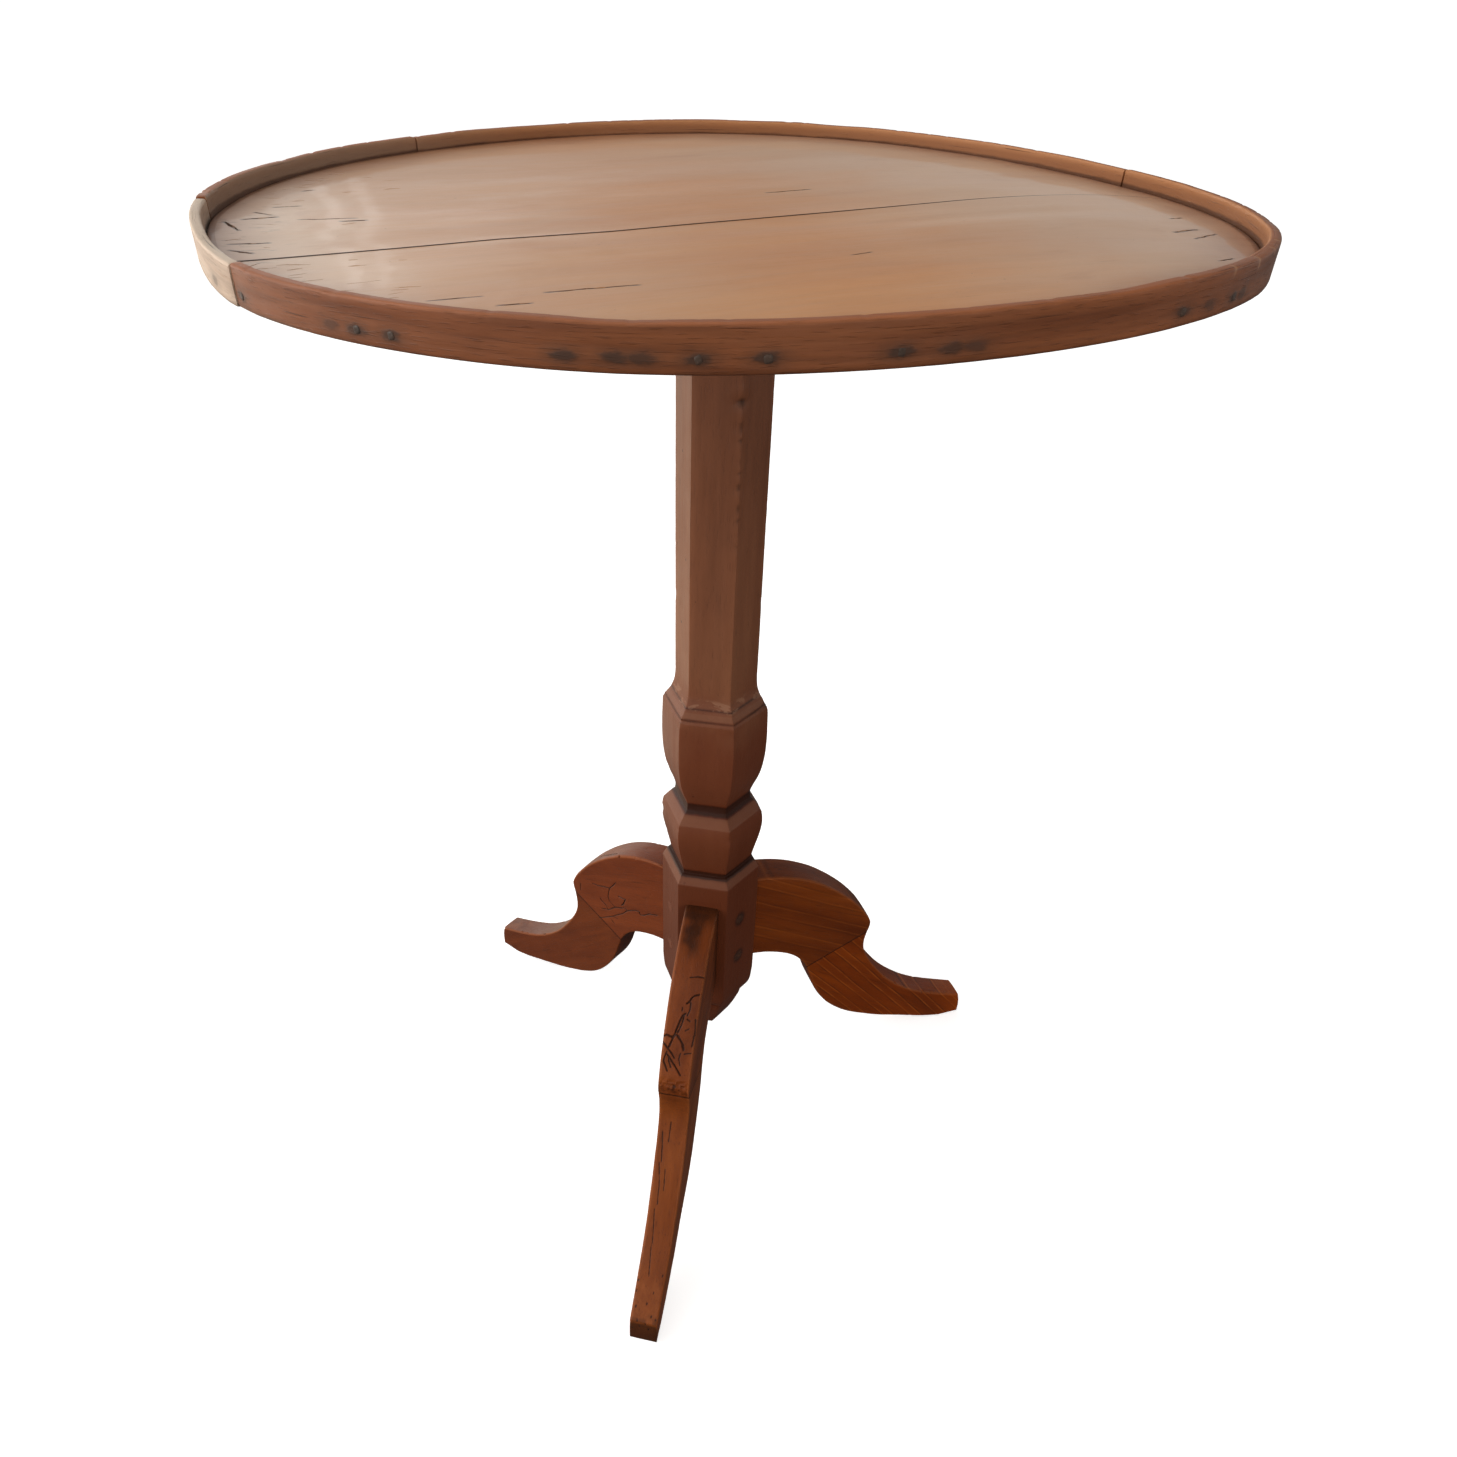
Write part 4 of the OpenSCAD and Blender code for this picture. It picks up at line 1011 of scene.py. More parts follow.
    # darker at the root, on the front toe's end face and low down near the floor; wear on the toe's top
    D = np.clip(1 - (V[..., 0] - 33) / (26.0 if tag == "front" else 7.0), 0, 1) * (0.9 if tag == "front" else 0.4)
    if tag == "front":
        blot = 1.2 * np.exp(-((S - 40) / 17) ** 2 - ((V[..., 1] + 2.5) / 8.5) ** 2) + 0.6 * np.exp(-((S - 20) / 9) ** 2)
        D = np.maximum(D, np.clip(blot * 1.1 * (0.8 + 0.4 * vnoise(V / 7.0, seed + 12)), 0, 1) * F)
        D = np.maximum(D, 0.95 * sstep(252.4, 253.6, V[..., 0]))
        D = np.maximum(D, 0.55 * F * sstep(240, 254, V[..., 0]) * np.clip(0.3 + 1.3 * vnoise(V / 4.0, seed + 13), 0, 1))
    D = np.maximum(D, sstep(30, 4, V[..., 2]) * 0.25 * (F < 0.5))
    W = np.maximum(W, 0.55 * F * sstep(200, 245, V[..., 0]) * (V[..., 2] < 60))
    W = W * (1 - 0.4 * sstep(60, 33, V[..., 0]))
    a = math.radians(az)
    X = V[..., 0] * math.cos(a) - V[..., 1] * math.sin(a)
    Y = V[..., 0] * math.sin(a) + V[..., 1] * math.cos(a)
    P = np.stack([X, Y, V[..., 2]], -1).reshape(-1, 3)
    faces = ring_faces(nr, m)
    faces.append(tuple(range(m))[::-1])
    faces.append(tuple((nr - 1) * m + j for j in range(m)))
    layers = {"wear": W.ravel(), "dirt_and_shade": D.ravel(), "gouge": G.ravel()}
    fa = math.radians(face_az)
    apo = HUB_R * C30 - 0.25
    g0, g1 = np.array([88, 116.5]), np.array([142, 143.5])
    gd = (g1 - g0) / np.hypot(*(g1 - g0))
    gn = np.array([-gd[1], gd[0]])                     # up and outward side belongs to the knee
    n3 = (gn[0] * math.cos(a), gn[0] * math.sin(a), gn[1])

    def at(p, off):
        q = p + gn * off
        return (q[0] * math.cos(a), q[0] * math.sin(a), q[1])
    knee = bm_from(P, faces, layers)
    cut(knee, (apo * math.cos(fa), apo * math.sin(fa), 0), (-math.cos(fa), -math.sin(fa), 0))
    cut(knee, at(g0, 0.12), tuple(-c for c in n3), bevel=0.25)
    foot = bm_from(P, faces, layers)
    cut(foot, at(g0, -0.12), n3, bevel=0.25)
    new_piece(f"{tag}_leg_knee_carved", "pedestal", mats[0], bm=knee, angle=38, replaces=(f"{tag}_leg_knee",))
    new_piece(f"{tag}_leg_foot_carved", "pedestal", mats[1], bm=foot, angle=38, replaces=(f"{tag}_leg_foot",))


build_leg("front", -120.0, -120.0, (M_FK, M_FF), 51, gouges=1.0, scars=FRONT_SCARS, fine=(60, 160, 0.55), n_top=46)
build_leg("left", 123.0, 120.0, (M_LK, M_LF), 61, scars=LEFT_TOP, cracks=LEFT_CRACKS, fine=(20, 156, 0.5), n_top=30, n_plus=170)
build_leg("right", -1.5, 0.0, (M_RK, M_RF), 71)

# ------------------------------------------------------------------ pegs, cut off just proud of the hub

def build_pegs():
    verts, faces, n = [], [], 28
    for az in (-120.0, 123.0, -1.5):
        u = np.array([math.cos(math.radians(az)), math.sin(math.radians(az)), 0])
        d = np.array([-u[1], u[0], 0])
        for k, z in enumerate((212.0, 170.0)):
            c0 = u * 18 + np.array([0, 0, z])
            # the hub face that the peg leaves through
            best = min(((HUB_R * C30 - c0 @ f) / (d @ f), f) for f in
                       [np.array([math.cos(math.radians(b)), math.sin(math.radians(b)), 0]) for b in range(0, 360, 60)] if d @ f > 0.05)[1]
            w = np.array([0, 0, 1.0])
            rings = []
            for rr, off in ((4.0, -8.0), (4.0, 0.02), (3.7, 0.10), (1.8, 0.14)):
                ring = []
                for j in range(n):
                    t = 2 * math.pi * j / n
                    r2 = rr * (1 + 0.07 * math.cos(3 * t + az + k) + 0.05 * math.cos(5 * t + k * 2))
                    p = c0 + u * r2 * math.cos(t) + w * r2 * math.sin(t)
                    s_ = (HUB_R * C30 + off - p @ best) / (d @ best)
                    ring.append(p + d * s_)
                rings.append(ring)
            b = len(verts)
            for ring in rings:
                verts += ring
            verts.append(np.mean(rings[-1], 0) + best * 0.02)
            verts.append(np.mean(rings[0], 0))
            faces += ring_faces(4, n, b)
            faces += [(b + 3 * n + j, b + 3 * n + (j + 1) % n, b + 4 * n) for j in range(n)]
            faces += [(b + (j + 1) % n, b + j, b + 4 * n + 1) for j in range(n)]
    bm = bm_from(np.array(verts), faces, {"wear": np.zeros(len(verts)), "dirt_and_shade": np.full(len(verts), 0.12)})
    new_piece("driven_pegs", "pedestal", M_PEG, bm=bm, angle=50, replaces=("leg_pegs",))


build_pegs()

# ------------------------------------------------------------------ boards

# short splits at the left end of the boards
_r = np.random.default_rng(77)
SPLITS = []
for _k in range(64):
    _a, _q = math.radians(180 + _r.uniform(-40, 36)), 251 - abs(_r.normal(0, 24)) - 2
    _x, _y, _h = _q * math.cos(_a), _q * math.sin(_a), _r.uniform(1.5, 6.0) * (1.0 if _k % 3 else 1.5)
    _b = math.radians(_r.uniform(-16, 16) + (25 if _k % 5 == 0 else 0))
    SPLITS.append(((_x - _h * math.cos(_b), _y - _h * math.sin(_b)), (_x + _h * math.cos(_b), _y + _h * math.sin(_b)), _r.uniform(0.22, 0.55)))


def _apart(a, b):
    f = np.linspace(0, 1, 12)[:, None]
    pa, pb = (np.array(q[0]) * (1 - f) + np.array(q[1]) * f for q in (a, b))
    return np.hypot(*(pa[:, None] - pb[None]).transpose(2, 0, 1)).min()


_keep = list(CRACKS)
for _c in SPLITS:
    if abs(_c[0][1] + 40 - _c[0][0] * 0.042) > 4 and max(math.hypot(*_c[0]), math.hypot(*_c[1])) < 251 and min(_apart(_c, q) for q in _keep) > 3.5:
        _keep.append(_c)
SPLITS = _keep[len(CRACKS):]


def carve(bm, cracks):
    """Cuts narrow, ragged V-shaped splits into the upper face of a board."""
    verts, faces = [], []
    for i, ((x0, y0), (x1, y1), w) in enumerate(cracks):
        L = math.hypot(x1 - x0, y1 - y0)
        n = max(6, int(L / 1.1)) + 1
        f = np.linspace(0, 1, n)
        ux, uy = (x1 - x0) / L, (y1 - y0) / L
        sh = 0.55 * vnoise(np.stack([f * L / 7, f * 0 + i, f * 0], -1), 31) + 0.18 * vnoise(np.stack([f * L / 2, f * 0 + i, f * 0], -1), 32)
        hw = w * 0.95 * np.sin(math.pi * (0.04 + 0.92 * f)) ** 0.6 * (1 + 0.5 * vnoise(np.stack([f * L / 3, f * 0 + i, f * 0], -1), 33)) + 0.03
        depth = np.minimum(2.2, 0.5 + 2.4 * hw)
        cx, cy = x0 + ux * L * f - uy * sh, y0 + uy * L * f + ux * sh
        z = DECK + warp(cx, cy) + deck_lift(cx, cy, cy < -40 + cx * math.tan(math.radians(2.4)))
        k = 1 + 1.0 / depth
        b = len(verts)
        for j in range(n):
            verts += [(cx[j] - uy * hw[j] * k[j], cy[j] + ux * hw[j] * k[j], z[j] + 1.0), (cx[j] + uy * 0.05, cy[j] - ux * 0.05, z[j] - depth[j]),
                      (cx[j] + uy * hw[j] * k[j], cy[j] - ux * hw[j] * k[j], z[j] + 1.0)]
        faces += [tuple(b + q for q in f_) for f_ in ring_faces(n, 3)] + [(b, b + 1, b + 2), (b + 3 * n - 1, b + 3 * n - 2, b + 3 * n - 3)]
    cb = bm_from(np.array(verts), faces, {"wear": np.zeros(len(verts)), "dirt_and_shade": np.ones(len(verts))})
    obs = []
    for nm, b_ in (("board_tmp", bm), ("cutter_tmp", cb)):
        me = bpy.data.meshes.new(nm)
        b_.to_mesh(me)
        b_.free()
        ob = bpy.data.objects.new(nm, me)
        bpy.context.scene.collection.objects.link(ob)
        obs.append(ob)
    md = obs[0].modifiers.new("cut", "BOOLEAN")
    md.operation, md.solver, md.object = "DIFFERENCE", "EXACT", obs[1]
    bpy.context.view_layer.update()
    ev = obs[0].evaluated_get(bpy.context.evaluated_depsgraph_get())
    out = bmesh.new()
    me2 = ev.to_mesh()
    out.from_mesh(me2)
    ev.to_mesh_clear()
    assert len(out.verts) > 1000, "the board was lost in carving"
    for ob in obs:
        me = ob.data
        bpy.data.objects.remove(ob)
        bpy.data.meshes.remove(me)
    return out


def build_board(name, node, front, mat):
    na = 400
    ang = np.linspace(0, 2 * math.pi, na, endpoint=False)
    Rb = rim_radius(ang) - RIM_T - 0.15
    fr = np.concatenate([np.linspace(0.02, 0.80, 42), np.linspace(0.82, 0.985, 12), [0.993, 0.997, 0.999]])
    rows, zt = [], []
    for f in fr:
        x, y = f * Rb * np.cos(ang), f * Rb * np.sin(ang)
        rows.append(np.stack([x, y, np.full(na, DECK)], -1))
    top = np.array(rows)
    # long shallow hollows left by the plane, and use
    top[..., 2] += 0.16 * vnoise(np.stack([top[..., 0] / 120, top[..., 1] / 34, top[..., 2] * 0], -1), 3) \
        + 0.05 * vnoise(np.stack([top[..., 0] / 40, top[..., 1] / 13, top[..., 2] * 0], -1), 4)
    top[-1, :, 2] -= 0.45
    top[-2, :, 2] -= 0.15
    side = []
    for z in (DECK - 1.0, DECK - 4.0, RIM_BOT + 0.4):
        side.append(np.stack([Rb * np.cos(ang), Rb * np.sin(ang), np.full(na, z)], -1))
    bot = []
    # underside: bevel from the edge in to the full thickness, then flat with scrub plane marks
    for e in (0.6, 4, 9, 15, 21, 27, 33, 39, 44, 46.5):
        k = np.clip(e / 45.0, 0, 1)
        z = RIM_BOT + 0.2 + (UNDER - RIM_BOT - 0.2) * k
        bot.append(np.stack([(Rb - e) * np.cos(ang), (Rb - e) * np.sin(ang), np.full(na, z)], -1))
    for f in np.linspace(0.80, 0.02, 40):
        bot.append(np.stack([f * Rb * np.cos(ang), f * Rb * np.sin(ang), np.full(na, UNDER)], -1))
    bot = np.array(bot)
    tool = 0.10 * vnoise(np.stack([bot[..., 0] / 26, bot[..., 1] / 26, bot[..., 2] * 0], -1), 7)
    keep = (np.abs(bot[..., 0]) < 68) & (np.abs(bot[..., 1]) < 172)
    bot[..., 2] += np.where(keep, 0.0, tool)
    V = np.concatenate([top, np.array(side), bot])
    nt = len(top) + len(side)
    V[:nt, :, 2] += warp(V[:nt, :, 0], V[:nt, :, 1])
    V[:len(top), :, 2] += deck_lift(V[:len(top), :, 0], V[:len(top), :, 1], front)
    V[nt:, :, 2] += warp(V[nt:, :, 0], V[nt:, :, 1], False)
    nr = len(V)
    ct = np.array([0, 0, V[0, :, 2].mean()])
    cb = np.array([0, 0, V[-1, :, 2].mean()])
    verts = np.concatenate([V.reshape(-1, 3), [ct, cb]])
    faces = [q[::-1] for q in ring_faces(nr, na)]
    n = nr * na
    faces += [(j, (j + 1) % na, n) for j in range(na)]
    b = (nr - 1) * na
    faces += [(b + (j + 1) % na, b + j, n + 1) for j in range(na)]
    dirt_and_shade = np.zeros((nr, na))
    dirt_and_shade[len(top) - 3:len(top) + 2] = 0.8
    dirt_and_shade[len(top) + 3:] = 0.25
    bm = bm_from(verts, faces, {"wear": np.zeros(len(verts)), "dirt_and_shade": np.concatenate([dirt_and_shade.ravel(), [0, 0.2]])})
    sk = math.radians(2.4)
    nrm = np.array([-math.sin(sk), math.cos(sk), 0])
    if not front:
        nrm = -nrm
    off = -nrm * 0.04
    cut(bm, (off[0], -40 + off[1], 0), tuple(nrm), bevel=0.2 if front else 0.4)
    bm = carve(bm, [c for c in CRACKS + SPLITS if (c[0][1] < -40 + c[0][0] * math.tan(sk)) == front])
    new_piece(name, "top", mat, bm=bm, angle=18, replaces=(node,))


build_board("front_plank", "front_board", True, M_TOP_F)
build_board("rear_plank", "rear_board", False, M_TOP_R)

# ------------------------------------------------------------------ rim

NAIL_AZ = (-165.5, -158.5, -141.5, -137.9, -123, -119.3, -113.1, -108.1, -98.4, -71.6, -62.9, -40, -22, -4, 11, 28, 48, 68, 88, 112, 134, 152, 168, 178)
# stains round the nails seen in front: angle, strength, stretch
STAINS = ((-165.5, 0.6), (-158.5, 0.8), (-144.5, 0.6), (-141.5, 0.95), (-137.9, 0.95), (-123, 1.0), (-119.3, 1.0), (-117.2, 0.9), (-113.1, 1.0),
          (-108.1, 1.0), (-98.4, 1.0), (-94.6, 0.8), (-92.6, 0.7), (-71.6, 0.9), (-67.5, 0.6), (-62.9, 0.9), (-61, 0.7), (-40, 0.7), (-22, 0.7), (-4, 0.6),
          (11, 0.7), (28, 0.6), (48, 0.6), (68, 0.7), (88, 0.6), (112, 0.6), (134, 0.7), (152, 0.5), (168, 0.6), (178, 0.6))
NAIL_Z = 708.8
RIM_SEC = [(-5, 704.0), (-4.6, 703.5), (-3.0, 703.4), (-1.4, 703.4), (-0.6, 703.55), (-0.15, 703.9), (0, 704.6), (0, 706.4), (0, 708.2), (0, 710), (0, 711.8),
           (0, 713.6), (0, 715.4), (0, 717.2), (0, 718.5), (-0.08, 719.2), (-0.36, 719.68), (-0.85, 719.95), (-1.6, 720), (-2.5, 720), (-3.5, 720),
           (-4.2, 719.93), (-4.68, 719.62), (-4.93, 719.1), (-5, 718.4), (-5, 717.3), (-5, 715.8), (-5, 714), (-5, 712.2), (-5, 710.9), (-5, 707.5)]


def build_rim(name, node, a0, a1, mat, seed, dr=0.0, dz=0.0):
    gap = 0.022
    n = int((a1 - a0) / 0.36) + 1
    A = np.radians(np.linspace(a0 + gap, a1 - gap, n))
    sec = np.array(RIM_SEC)
    m = len(sec)
    R0 = rim_radius(A)[:, None]
    off = sec[None, :, 0].repeat(n, 0)
    z = sec[None, :, 1].repeat(n, 0)
    # thickness, height and bend of the old strip vary along it
    s = A[:, None] * 260.0
    one = np.zeros_like(off)
    inner = off < -3.3
    topm = sstep(716.5, 719.5, z)
    off = off + 0.28 * vnoise(np.stack([s / 70 + one, one, one], -1), seed)
    off = off + np.where(inner, 0.25 * vnoise(np.stack([s / 42 + one, one, one], -1), seed + 1), 0)
    z = z + topm * 0.28 * vnoise(np.stack([s / 30 + one, one, one], -1), seed + 2)
    off = off + 0.05 * vnoise(np.stack([s / 6 + one, z / 4, one], -1), seed + 3)
    # knocks on the upper arris
    nk = np.clip(vnoise(np.stack([s / 4.5 + one, z / 5, one], -1), seed + 4) - 0.62, 0, 1) * 0.8 * sstep(716.5, 719, z)
    z = z - nk * 0.8
    off = np.where(off > -2.5, off - nk * 0.7, off + nk * 0.4)
    chip = np.zeros_like(off)
    for az, half, dep in ((-64, 0.3, 0.2), (-58, 0.35, 0.25), (-52, 0.3, 0.3), (-47, 0.6, 0.5), (-40, 0.5, 0.6), (-33, 0.6, 0.7), (-29, 0.3, 0.4),
                           (60, 0.8, 0.7), (140, 0.7, 0.6), (95, 0.5, 0.6), (170, 0.6, 0.5)):
        da = (np.degrees(A)[:, None] - az + 180) % 360 - 180
        k = np.clip(1 - np.abs(da) / half, 0, 1) * sstep(715.5, 718.8, z + 1.4 * vnoise(np.stack([s / 5 + one, one + az, one], -1), seed + 5)) * (off > -2.8)
        off = off - k * dep
        z = z - k * dep * 0.5
        chip = np.maximum(chip, k * (0.75 if -80 < az < -28 else 0.15))
    off = off + dr
    z = z + dz
    X = (R0 + off) * np.cos(A)[:, None]
    Y = (R0 + off) * np.sin(A)[:, None]
    z = z + warp(X, Y)
    V = np.stack([X, Y, z], -1)
    # eased ends at the butt joints
    V[0, :, :2] += (V[1, :, :2] - V[0, :, :2]) * 0.2
    cen = V.mean(1, keepdims=True)
    V[0] = cen[0] + (V[0] - cen[0]) * 0.96
    V[-1] = cen[-1] + (V[-1] - cen[-1]) * 0.96
    faces = ring_faces(n, m)
    faces.append(tuple(range(m)))
    faces.append(tuple((n - 1) * m + j for j in range(m))[::-1])
    base = sec[None, :, 1].repeat(n, 0)
    guv = np.stack([s + one, base - RIM_BOT, sec[None, :, 0] + one], -1)
    deg = np.degrees(A)[:, None]
    az = np.array([q[0] for q in STAINS], float)
    dd = (deg[..., None] - az + 180) % 360 - 180
    k = np.abs(dd).argmin(-1)
    dist = np.take_along_axis(np.abs(dd), k[..., None], -1)[..., 0] * math.pi / 180 * 260
    stren = np.array([q[1] for q in STAINS])[k]
    nail = np.stack([dist + one, base - NAIL_Z, stren + one], -1)
    nail[..., 2] = np.where(off - dr < -2.2, 0.0, nail[..., 2])
    wear = np.clip(sstep(718.4, 719.5, base) + sstep(704.6, 703.5, base) * 0.4, 0, 1)
    endd = np.minimum(np.abs(deg - a0), np.abs(a1 - deg)) * 4.5
    dirt_and_shade = np.maximum(np.where((base < 713.5) & (sec[None, :, 0] < -4.3), 0.85 * sstep(713.2, 711.2, base), 0.0), np.clip(1 - endd / 0.5, 0, 1) * 0.2)
    bm_layers = {"wear": wear.ravel(), "dirt_and_shade": (dirt_and_shade + one).ravel(), "chip": chip.ravel(), "guv": guv.reshape(-1, 3), "nail": nail.reshape(-1, 3)}
    new_piece(name, "top", mat, V.reshape(-1, 3), faces, layers=bm_layers, angle=35, replaces=(node,))


build_rim("front_rim_strip", "rim_front", -160, 3, M_RIM, 101)
build_rim("rear_rim_strip", "rim_rear", 3, 121, M_RIM, 111, -0.25, -0.2)
build_rim("left_rim_strip", "rim_left", 121, 173, M_RIM, 121, 0.1, 0.15)
build_rim("rim_repair", "rim_patch", 173, 200, M_PATCH, 131, 0.35, -0.3)


def build_nails():
    verts, faces, n = [], [], 20
    rng = np.random.default_rng(8)
    for az in NAIL_AZ:
        a = math.radians(az)
        u, t, w = np.array([math.cos(a), math.sin(a), 0]), np.array([-math.sin(a), math.cos(a), 0]), np.array([0, 0, 1.0])
        R = float(rim_radius(np.array(a)))
        dz = float(warp(np.array(R * math.cos(a)), np.array(R * math.sin(a))))
        el, ph = rng.uniform(0.8, 1.1), rng.uniform(0, 6)
        rings = []
        for rr, out in ((1.1, -17), (1.1, -1.5), (1.5, -1.4), (1.6, -0.15), (1.45, 0.02), (0.8, 0.06)):
            ring = []
            for j in range(n):
                th = 2 * math.pi * j / n
                r2 = rr * (1 + (0.10 * math.cos(4 * th + ph) if rr > 1.15 else 0)) * 1.0
                ring.append(u * (R + out) + t * r2 * math.cos(th) * el + w * (r2 * math.sin(th) + NAIL_Z + dz * (1 if out > -3 else 0.96)))
            rings.append(ring)
        b = len(verts)
        for ring in rings:
            verts += ring
        verts.append(np.mean(rings[-1], 0) + u * 0.04)
        verts.append(np.mean(rings[0], 0) - u * 1.2)
        k = len(rings)
        faces += ring_faces(k, n, b)
        faces += [(b + (k - 1) * n + j, b + (k - 1) * n + (j + 1) % n, b + k * n) for j in range(n)]
        faces += [(b + (j + 1) % n, b + j, b + k * n + 1) for j in range(n)]
    bm = bm_from(np.array(verts), faces)
    new_piece("forged_nails", "top", M_NAIL, bm=bm, angle=50, replaces=("rim_nails",))


build_nails()

# ------------------------------------------------------------------ the CAD pieces that stay

def finish_cad(name, mat, bevel=0.5, segs=2):
    o = CAD[name]
    o.data.materials.clear()
    o.data.materials.append(mat)
    if bevel:
        w = o.modifiers.new("weld", "WELD")
        w.merge_threshold = 1e-6
        b = o.modifiers.new("eased", "BEVEL")
        b.width = bevel * MM
        b.segments = segs
        b.limit_method = "ANGLE"
        b.angle_limit = math.radians(40)
        b.harden_normals = False


finish_cad("pivot_block", M_HID, 0.8)
finish_cad("tenon_wedge", M_HID, 0.15)
finish_cad("left_batten", M_HID_Y, 0.8)
finish_cad("right_batten", M_HID_Y, 0.8)
finish_cad("seam_dowels", M_HID, 0.0)
for nm in ("keeper_plate", "keeper_screws", "batten_screws", "bolt_plate", "bolt_plate_screws", "bolt_bar", "bolt_knob"):
    finish_cad(nm, M_IRON, 0.25 if "screw" not in nm else 0.0)

# ------------------------------------------------------------------ studio

def build_floor():
    n, r = 96, 140.0
    verts, faces = [(0, 0, -0.0004)], []
    rings = [0.5, 2, 8, 30, r]
    for rr in rings:
        verts += [(rr * math.cos(2 * math.pi * j / n), rr * math.sin(2 * math.pi * j / n), -0.0004) for j in range(n)]
    faces += [(0, 1 + j, 1 + (j + 1) % n) for j in range(n)]
    for k in range(len(rings) - 1):
        b = 1 + k * n
        faces += [(b + j, b + n + j, b + n + (j + 1) % n, b + (j + 1) % n) for j in range(n)]
    me = bpy.data.meshes.new("floor")
    me.from_pydata(verts, [], faces)
    ob = bpy.data.objects.new("floor", me)
    bpy.context.scene.collection.objects.link(ob)
    t = Tree("floor_pale", 1.0)
    t.b.inputs["Base Color"].default_value = (0.90, 0.90, 0.90, 1)
    t.b.inputs["Specular IOR Level"].default_value = 0.0
    t.b.inputs["Emission Color"].default_value = (1, 1, 1, 1)
    t.b.inputs["Emission Strength"].default_value = 0.64
    me.materials.append(t.m)
    ob.visible_diffuse = ob.visible_glossy = False


build_floor()

world = bpy.data.worlds.new("studio")
world.use_nodes = True
bpy.context.scene.world = world
wn, wl = world.node_tree.nodes, world.node_tree.links
wn.clear()
w_out = wn.new("ShaderNodeOutputWorld")
w_bg = wn.new("ShaderNodeBackground")
w_cam = wn.new("ShaderNodeBackground")
w_mix = wn.new("ShaderNodeMixShader")
w_lp = wn.new("ShaderNodeLightPath")
w_tc = wn.new("ShaderNodeTexCoord")
w_dot = wn.new("ShaderNodeVectorMath")
w_dot.operation = "DOT_PRODUCT"
w_dir = Vector((-0.86, 0.42, 0.28)).normalized()
w_dot.inputs[1].default_value = w_dir
wl.new(w_tc.outputs["Generated"], w_dot.inputs[0])
w_rng = wn.new("ShaderNodeMapRange")
w_rng.interpolation_type = "SMOOTHSTEP"
w_rng.inputs[1].default_value = 0.08
w_rng.inputs[2].default_value = 0.50
w_rng.inputs[3].default_value = 0.36
w_rng.inputs[4].default_value = 1.16
wl.new(w_dot.outputs["Value"], w_rng.inputs[0])
# the room is darker below the table's top than above it
w_sep = wn.new("ShaderNodeSeparateXYZ")
wl.new(w_tc.outputs["Generated"], w_sep.inputs[0])
w_low = wn.new("ShaderNodeMapRange")
w_low.interpolation_type = "SMOOTHSTEP"
w_low.inputs[1].default_value = -0.35
w_low.inputs[2].default_value = 0.12
w_low.inputs[3].default_value = 0.08
w_low.inputs[4].default_value = 1.0
wl.new(w_sep.outputs[2], w_low.inputs[0])
w_mul = wn.new("ShaderNodeMath")
w_mul.operation = "MULTIPLY"
wl.new(w_rng.outputs[0], w_mul.inputs[0])
wl.new(w_low.outputs[0], w_mul.inputs[1])
# a bright floor, low behind the table on the left
w_dot2 = wn.new("ShaderNodeVectorMath")
w_dot2.operation = "DOT_PRODUCT"
w_dot2.inputs[1].default_value = Vector((-0.33, 0.85, -0.36)).normalized()
wl.new(w_tc.outputs["Generated"], w_dot2.inputs[0])
w_rng2 = wn.new("ShaderNodeMapRange")
w_rng2.interpolation_type = "SMOOTHSTEP"
w_rng2.inputs[1].default_value = 0.70
w_rng2.inputs[2].default_value = 0.96
w_rng2.inputs[3].default_value = 0.0
w_rng2.inputs[4].default_value = 0.82
wl.new(w_dot2.outputs["Value"], w_rng2.inputs[0])
w_cap = wn.new("ShaderNodeMapRange")
w_cap.interpolation_type = "SMOOTHSTEP"
w_cap.inputs[1].default_value = -0.72
w_cap.inputs[2].default_value = -0.56
wl.new(w_sep.outputs[2], w_cap.inputs[0])
w_mul2 = wn.new("ShaderNodeMath")
w_mul2.operation = "MULTIPLY"
wl.new(w_rng2.outputs[0], w_mul2.inputs[0])
wl.new(w_cap.outputs[0], w_mul2.inputs[1])
w_bg2 = wn.new("ShaderNodeBackground")
w_bg2.inputs["Color"].default_value = (1.0, 0.80, 0.58, 1)
wl.new(w_mul2.outputs[0], w_bg2.inputs["Strength"])
w_sum = wn.new("ShaderNodeAddShader")
wl.new(w_bg.outputs[0], w_sum.inputs[0])
wl.new(w_bg2.outputs[0], w_sum.inputs[1])
w_hor = wn.new("ShaderNodeMapRange")
w_hor.interpolation_type = "SMOOTHSTEP"
w_hor.inputs[1].default_value = 0.10
w_hor.inputs[2].default_value = 0.18
w_hor.inputs[3].default_value = 1.8
w_hor.inputs[4].default_value = 0.62
wl.new(w_sep.outputs[2], w_hor.inputs[0])
w_mul3 = wn.new("ShaderNodeMath")
w_mul3.operation = "MULTIPLY"
wl.new(w_mul.outputs[0], w_mul3.inputs[0])
wl.new(w_hor.outputs[0], w_mul3.inputs[1])
wl.new(w_mul3.outputs[0], w_bg.inputs["Strength"])
w_bg.inputs["Color"].default_value = (1.0, 0.985, 0.965, 1)
w_cam.inputs["Color"].default_value = (1, 1, 1, 1)
w_cam.inputs["Strength"].default_value = 1.0
wl.new(w_lp.outputs["Is Camera Ray"], w_mix.inputs[0])
wl.new(w_sum.outputs[0], w_mix.inputs[1])
wl.new(w_cam.outputs[0], w_mix.inputs[2])
wl.new(w_mix.outputs[0], w_out.inputs[0])


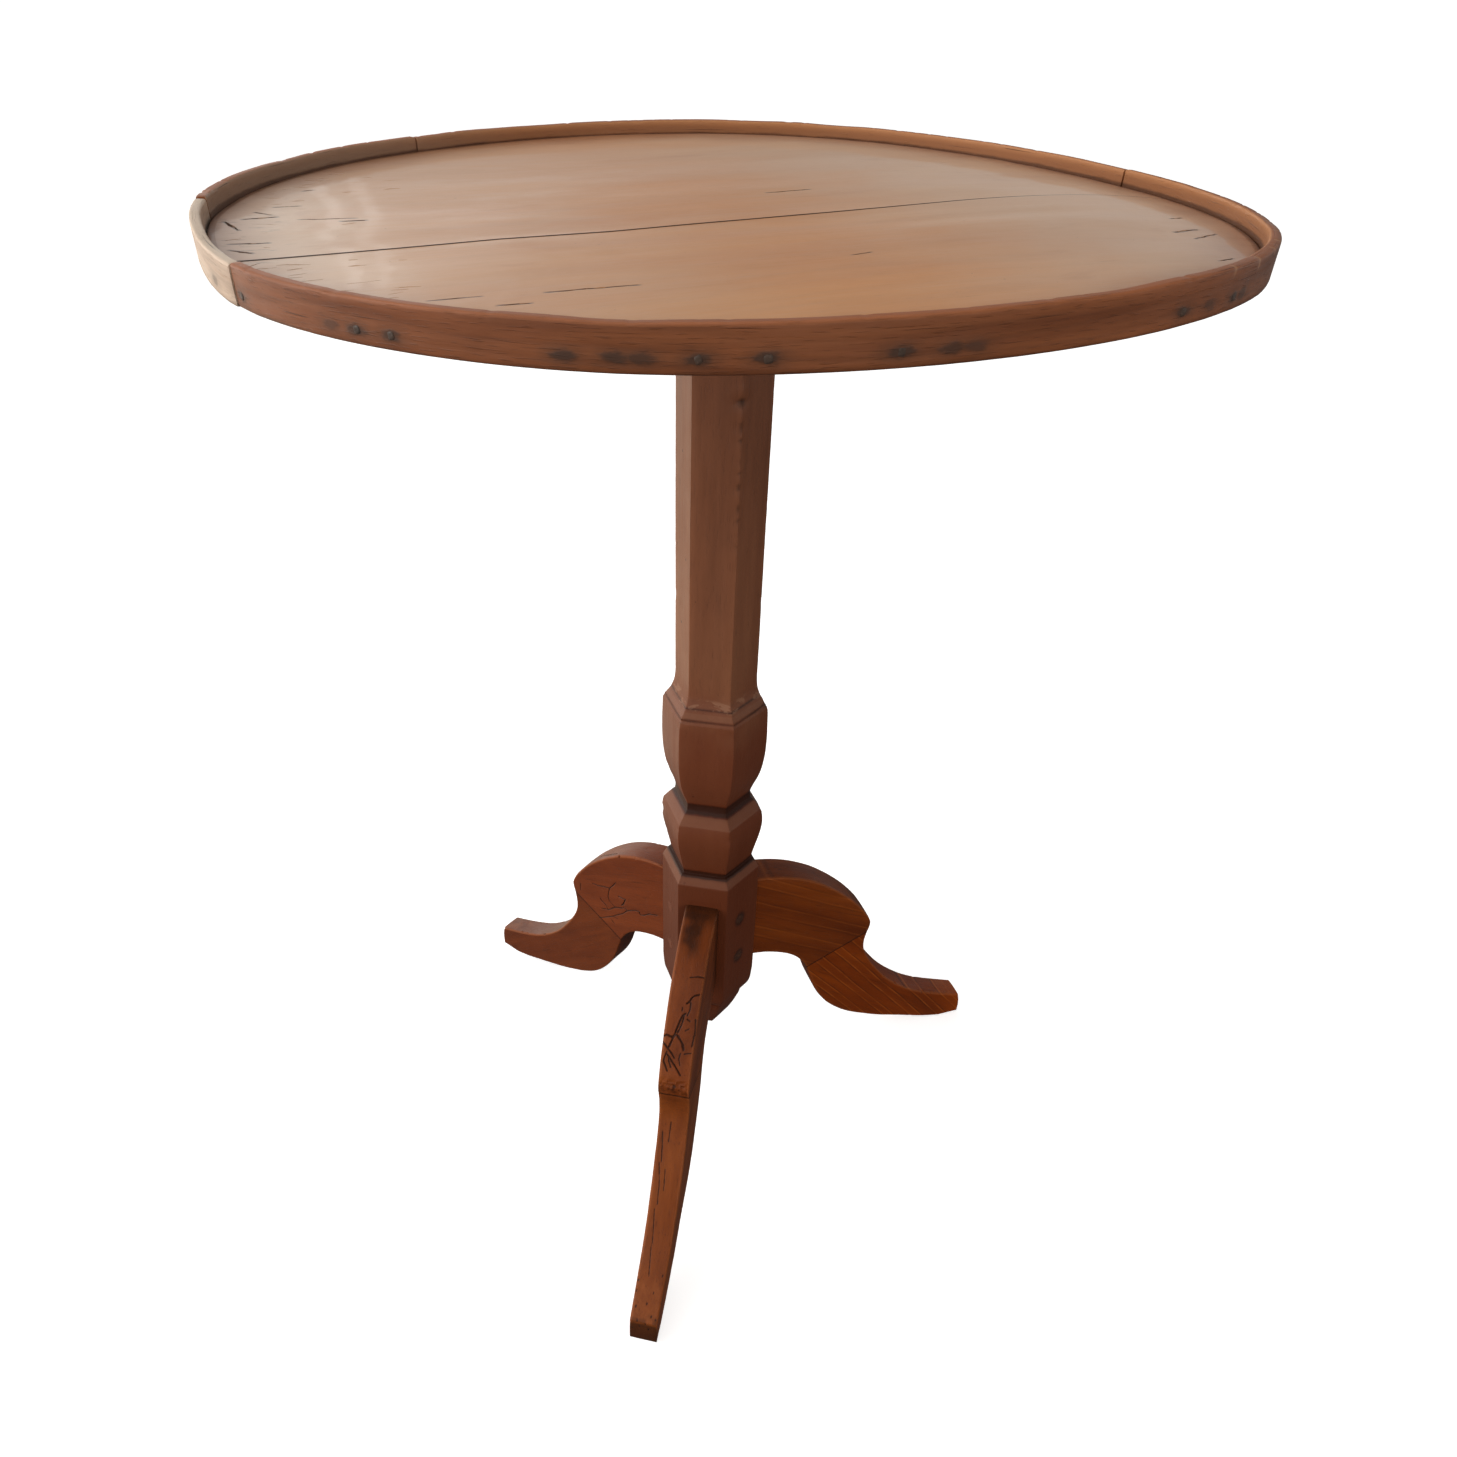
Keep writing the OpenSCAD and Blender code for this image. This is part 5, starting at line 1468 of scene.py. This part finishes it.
def area(name, loc, target, size, size_y, power, colour=(1, 1, 1)):
    ld = bpy.data.lights.new(name, "AREA")
    ld.shape = "RECTANGLE"
    ld.size, ld.size_y, ld.energy, ld.color = size, size_y, power, colour
    ob = bpy.data.objects.new(name, ld)
    bpy.context.scene.collection.objects.link(ob)
    ob.location = loc
    ob.rotation_mode = "QUATERNION"
    ob.rotation_quaternion = (Vector(target) - Vector(loc)).to_track_quat("-Z", "Y")
    ob.visible_camera = False
    return ob


area("key", (-2.6, 0.4, 2.2), (0, 0, 0.55), 1.8, 1.8, 26, (1.0, 0.98, 0.95))
area("fill_above", (0.2, -0.4, 3.2), (0, 0, 0), 2.6, 2.6, 14)
for lamp in (area("front", (0.2, -3.1, 0.9), (0, 0, 0.4), 2.2, 1.4, 34, (1.0, 0.96, 0.90)),
             area("left", (-2.5, 0.7, 0.75), (0, 0, 0.4), 1.2, 1.2, 30, (1.0, 0.97, 0.92))):
    lamp.visible_glossy = False
for nm, x0, power in (("window_left", -0.029, 0.05), ("window_right", 0.07, 0.038)):
    pane = area(nm, (x0, 3.2, 1.28), (-0.20, 0.04, 0.71), 0.04, 0.5, power)
    d_ = (Vector((-0.20, 0.04, 0.71)) - Vector((x0, 3.2, 1.28))).normalized()
    up_ = Vector((-0.25, 0, 1))
    up_ = (up_ + d_ * -up_.dot(d_)).normalized()
    pane.rotation_quaternion = Matrix((up_.cross(-d_), up_, -d_)).transposed().to_quaternion()

# ------------------------------------------------------------------ camera

PAN, PITCH, ROLL = math.radians(16.540), math.radians(37.298), math.radians(-1.094)
fwd = Vector((math.sin(PAN) * math.cos(PITCH), math.cos(PAN) * math.cos(PITCH), -math.sin(PITCH)))
rgt = Vector((math.cos(PAN), -math.sin(PAN), 0))
up = rgt.cross(fwd)
rgt2 = rgt * math.cos(ROLL) + up * math.sin(ROLL)
up2 = -rgt * math.sin(ROLL) + up * math.cos(ROLL)
cd = bpy.data.cameras.new("camera")
cam = bpy.data.objects.new("camera", cd)
bpy.context.scene.collection.objects.link(cam)
cd.sensor_width = 36.0
cd.lens = 25.950
cd.shift_x, cd.shift_y = 0.05716, 0.02984
cd.clip_start, cd.clip_end = 0.01, 400.0
cd.dof.use_dof = False
mw = Matrix((rgt2, up2, -fwd)).transposed().to_4x4()
mw.translation = Vector((-0.22183, -0.57262, 0.80724))
cam.matrix_world = mw
bpy.context.scene.camera = cam
bpy.context.scene.view_settings.view_transform = "Standard"
bpy.context.scene.view_settings.look = "None"
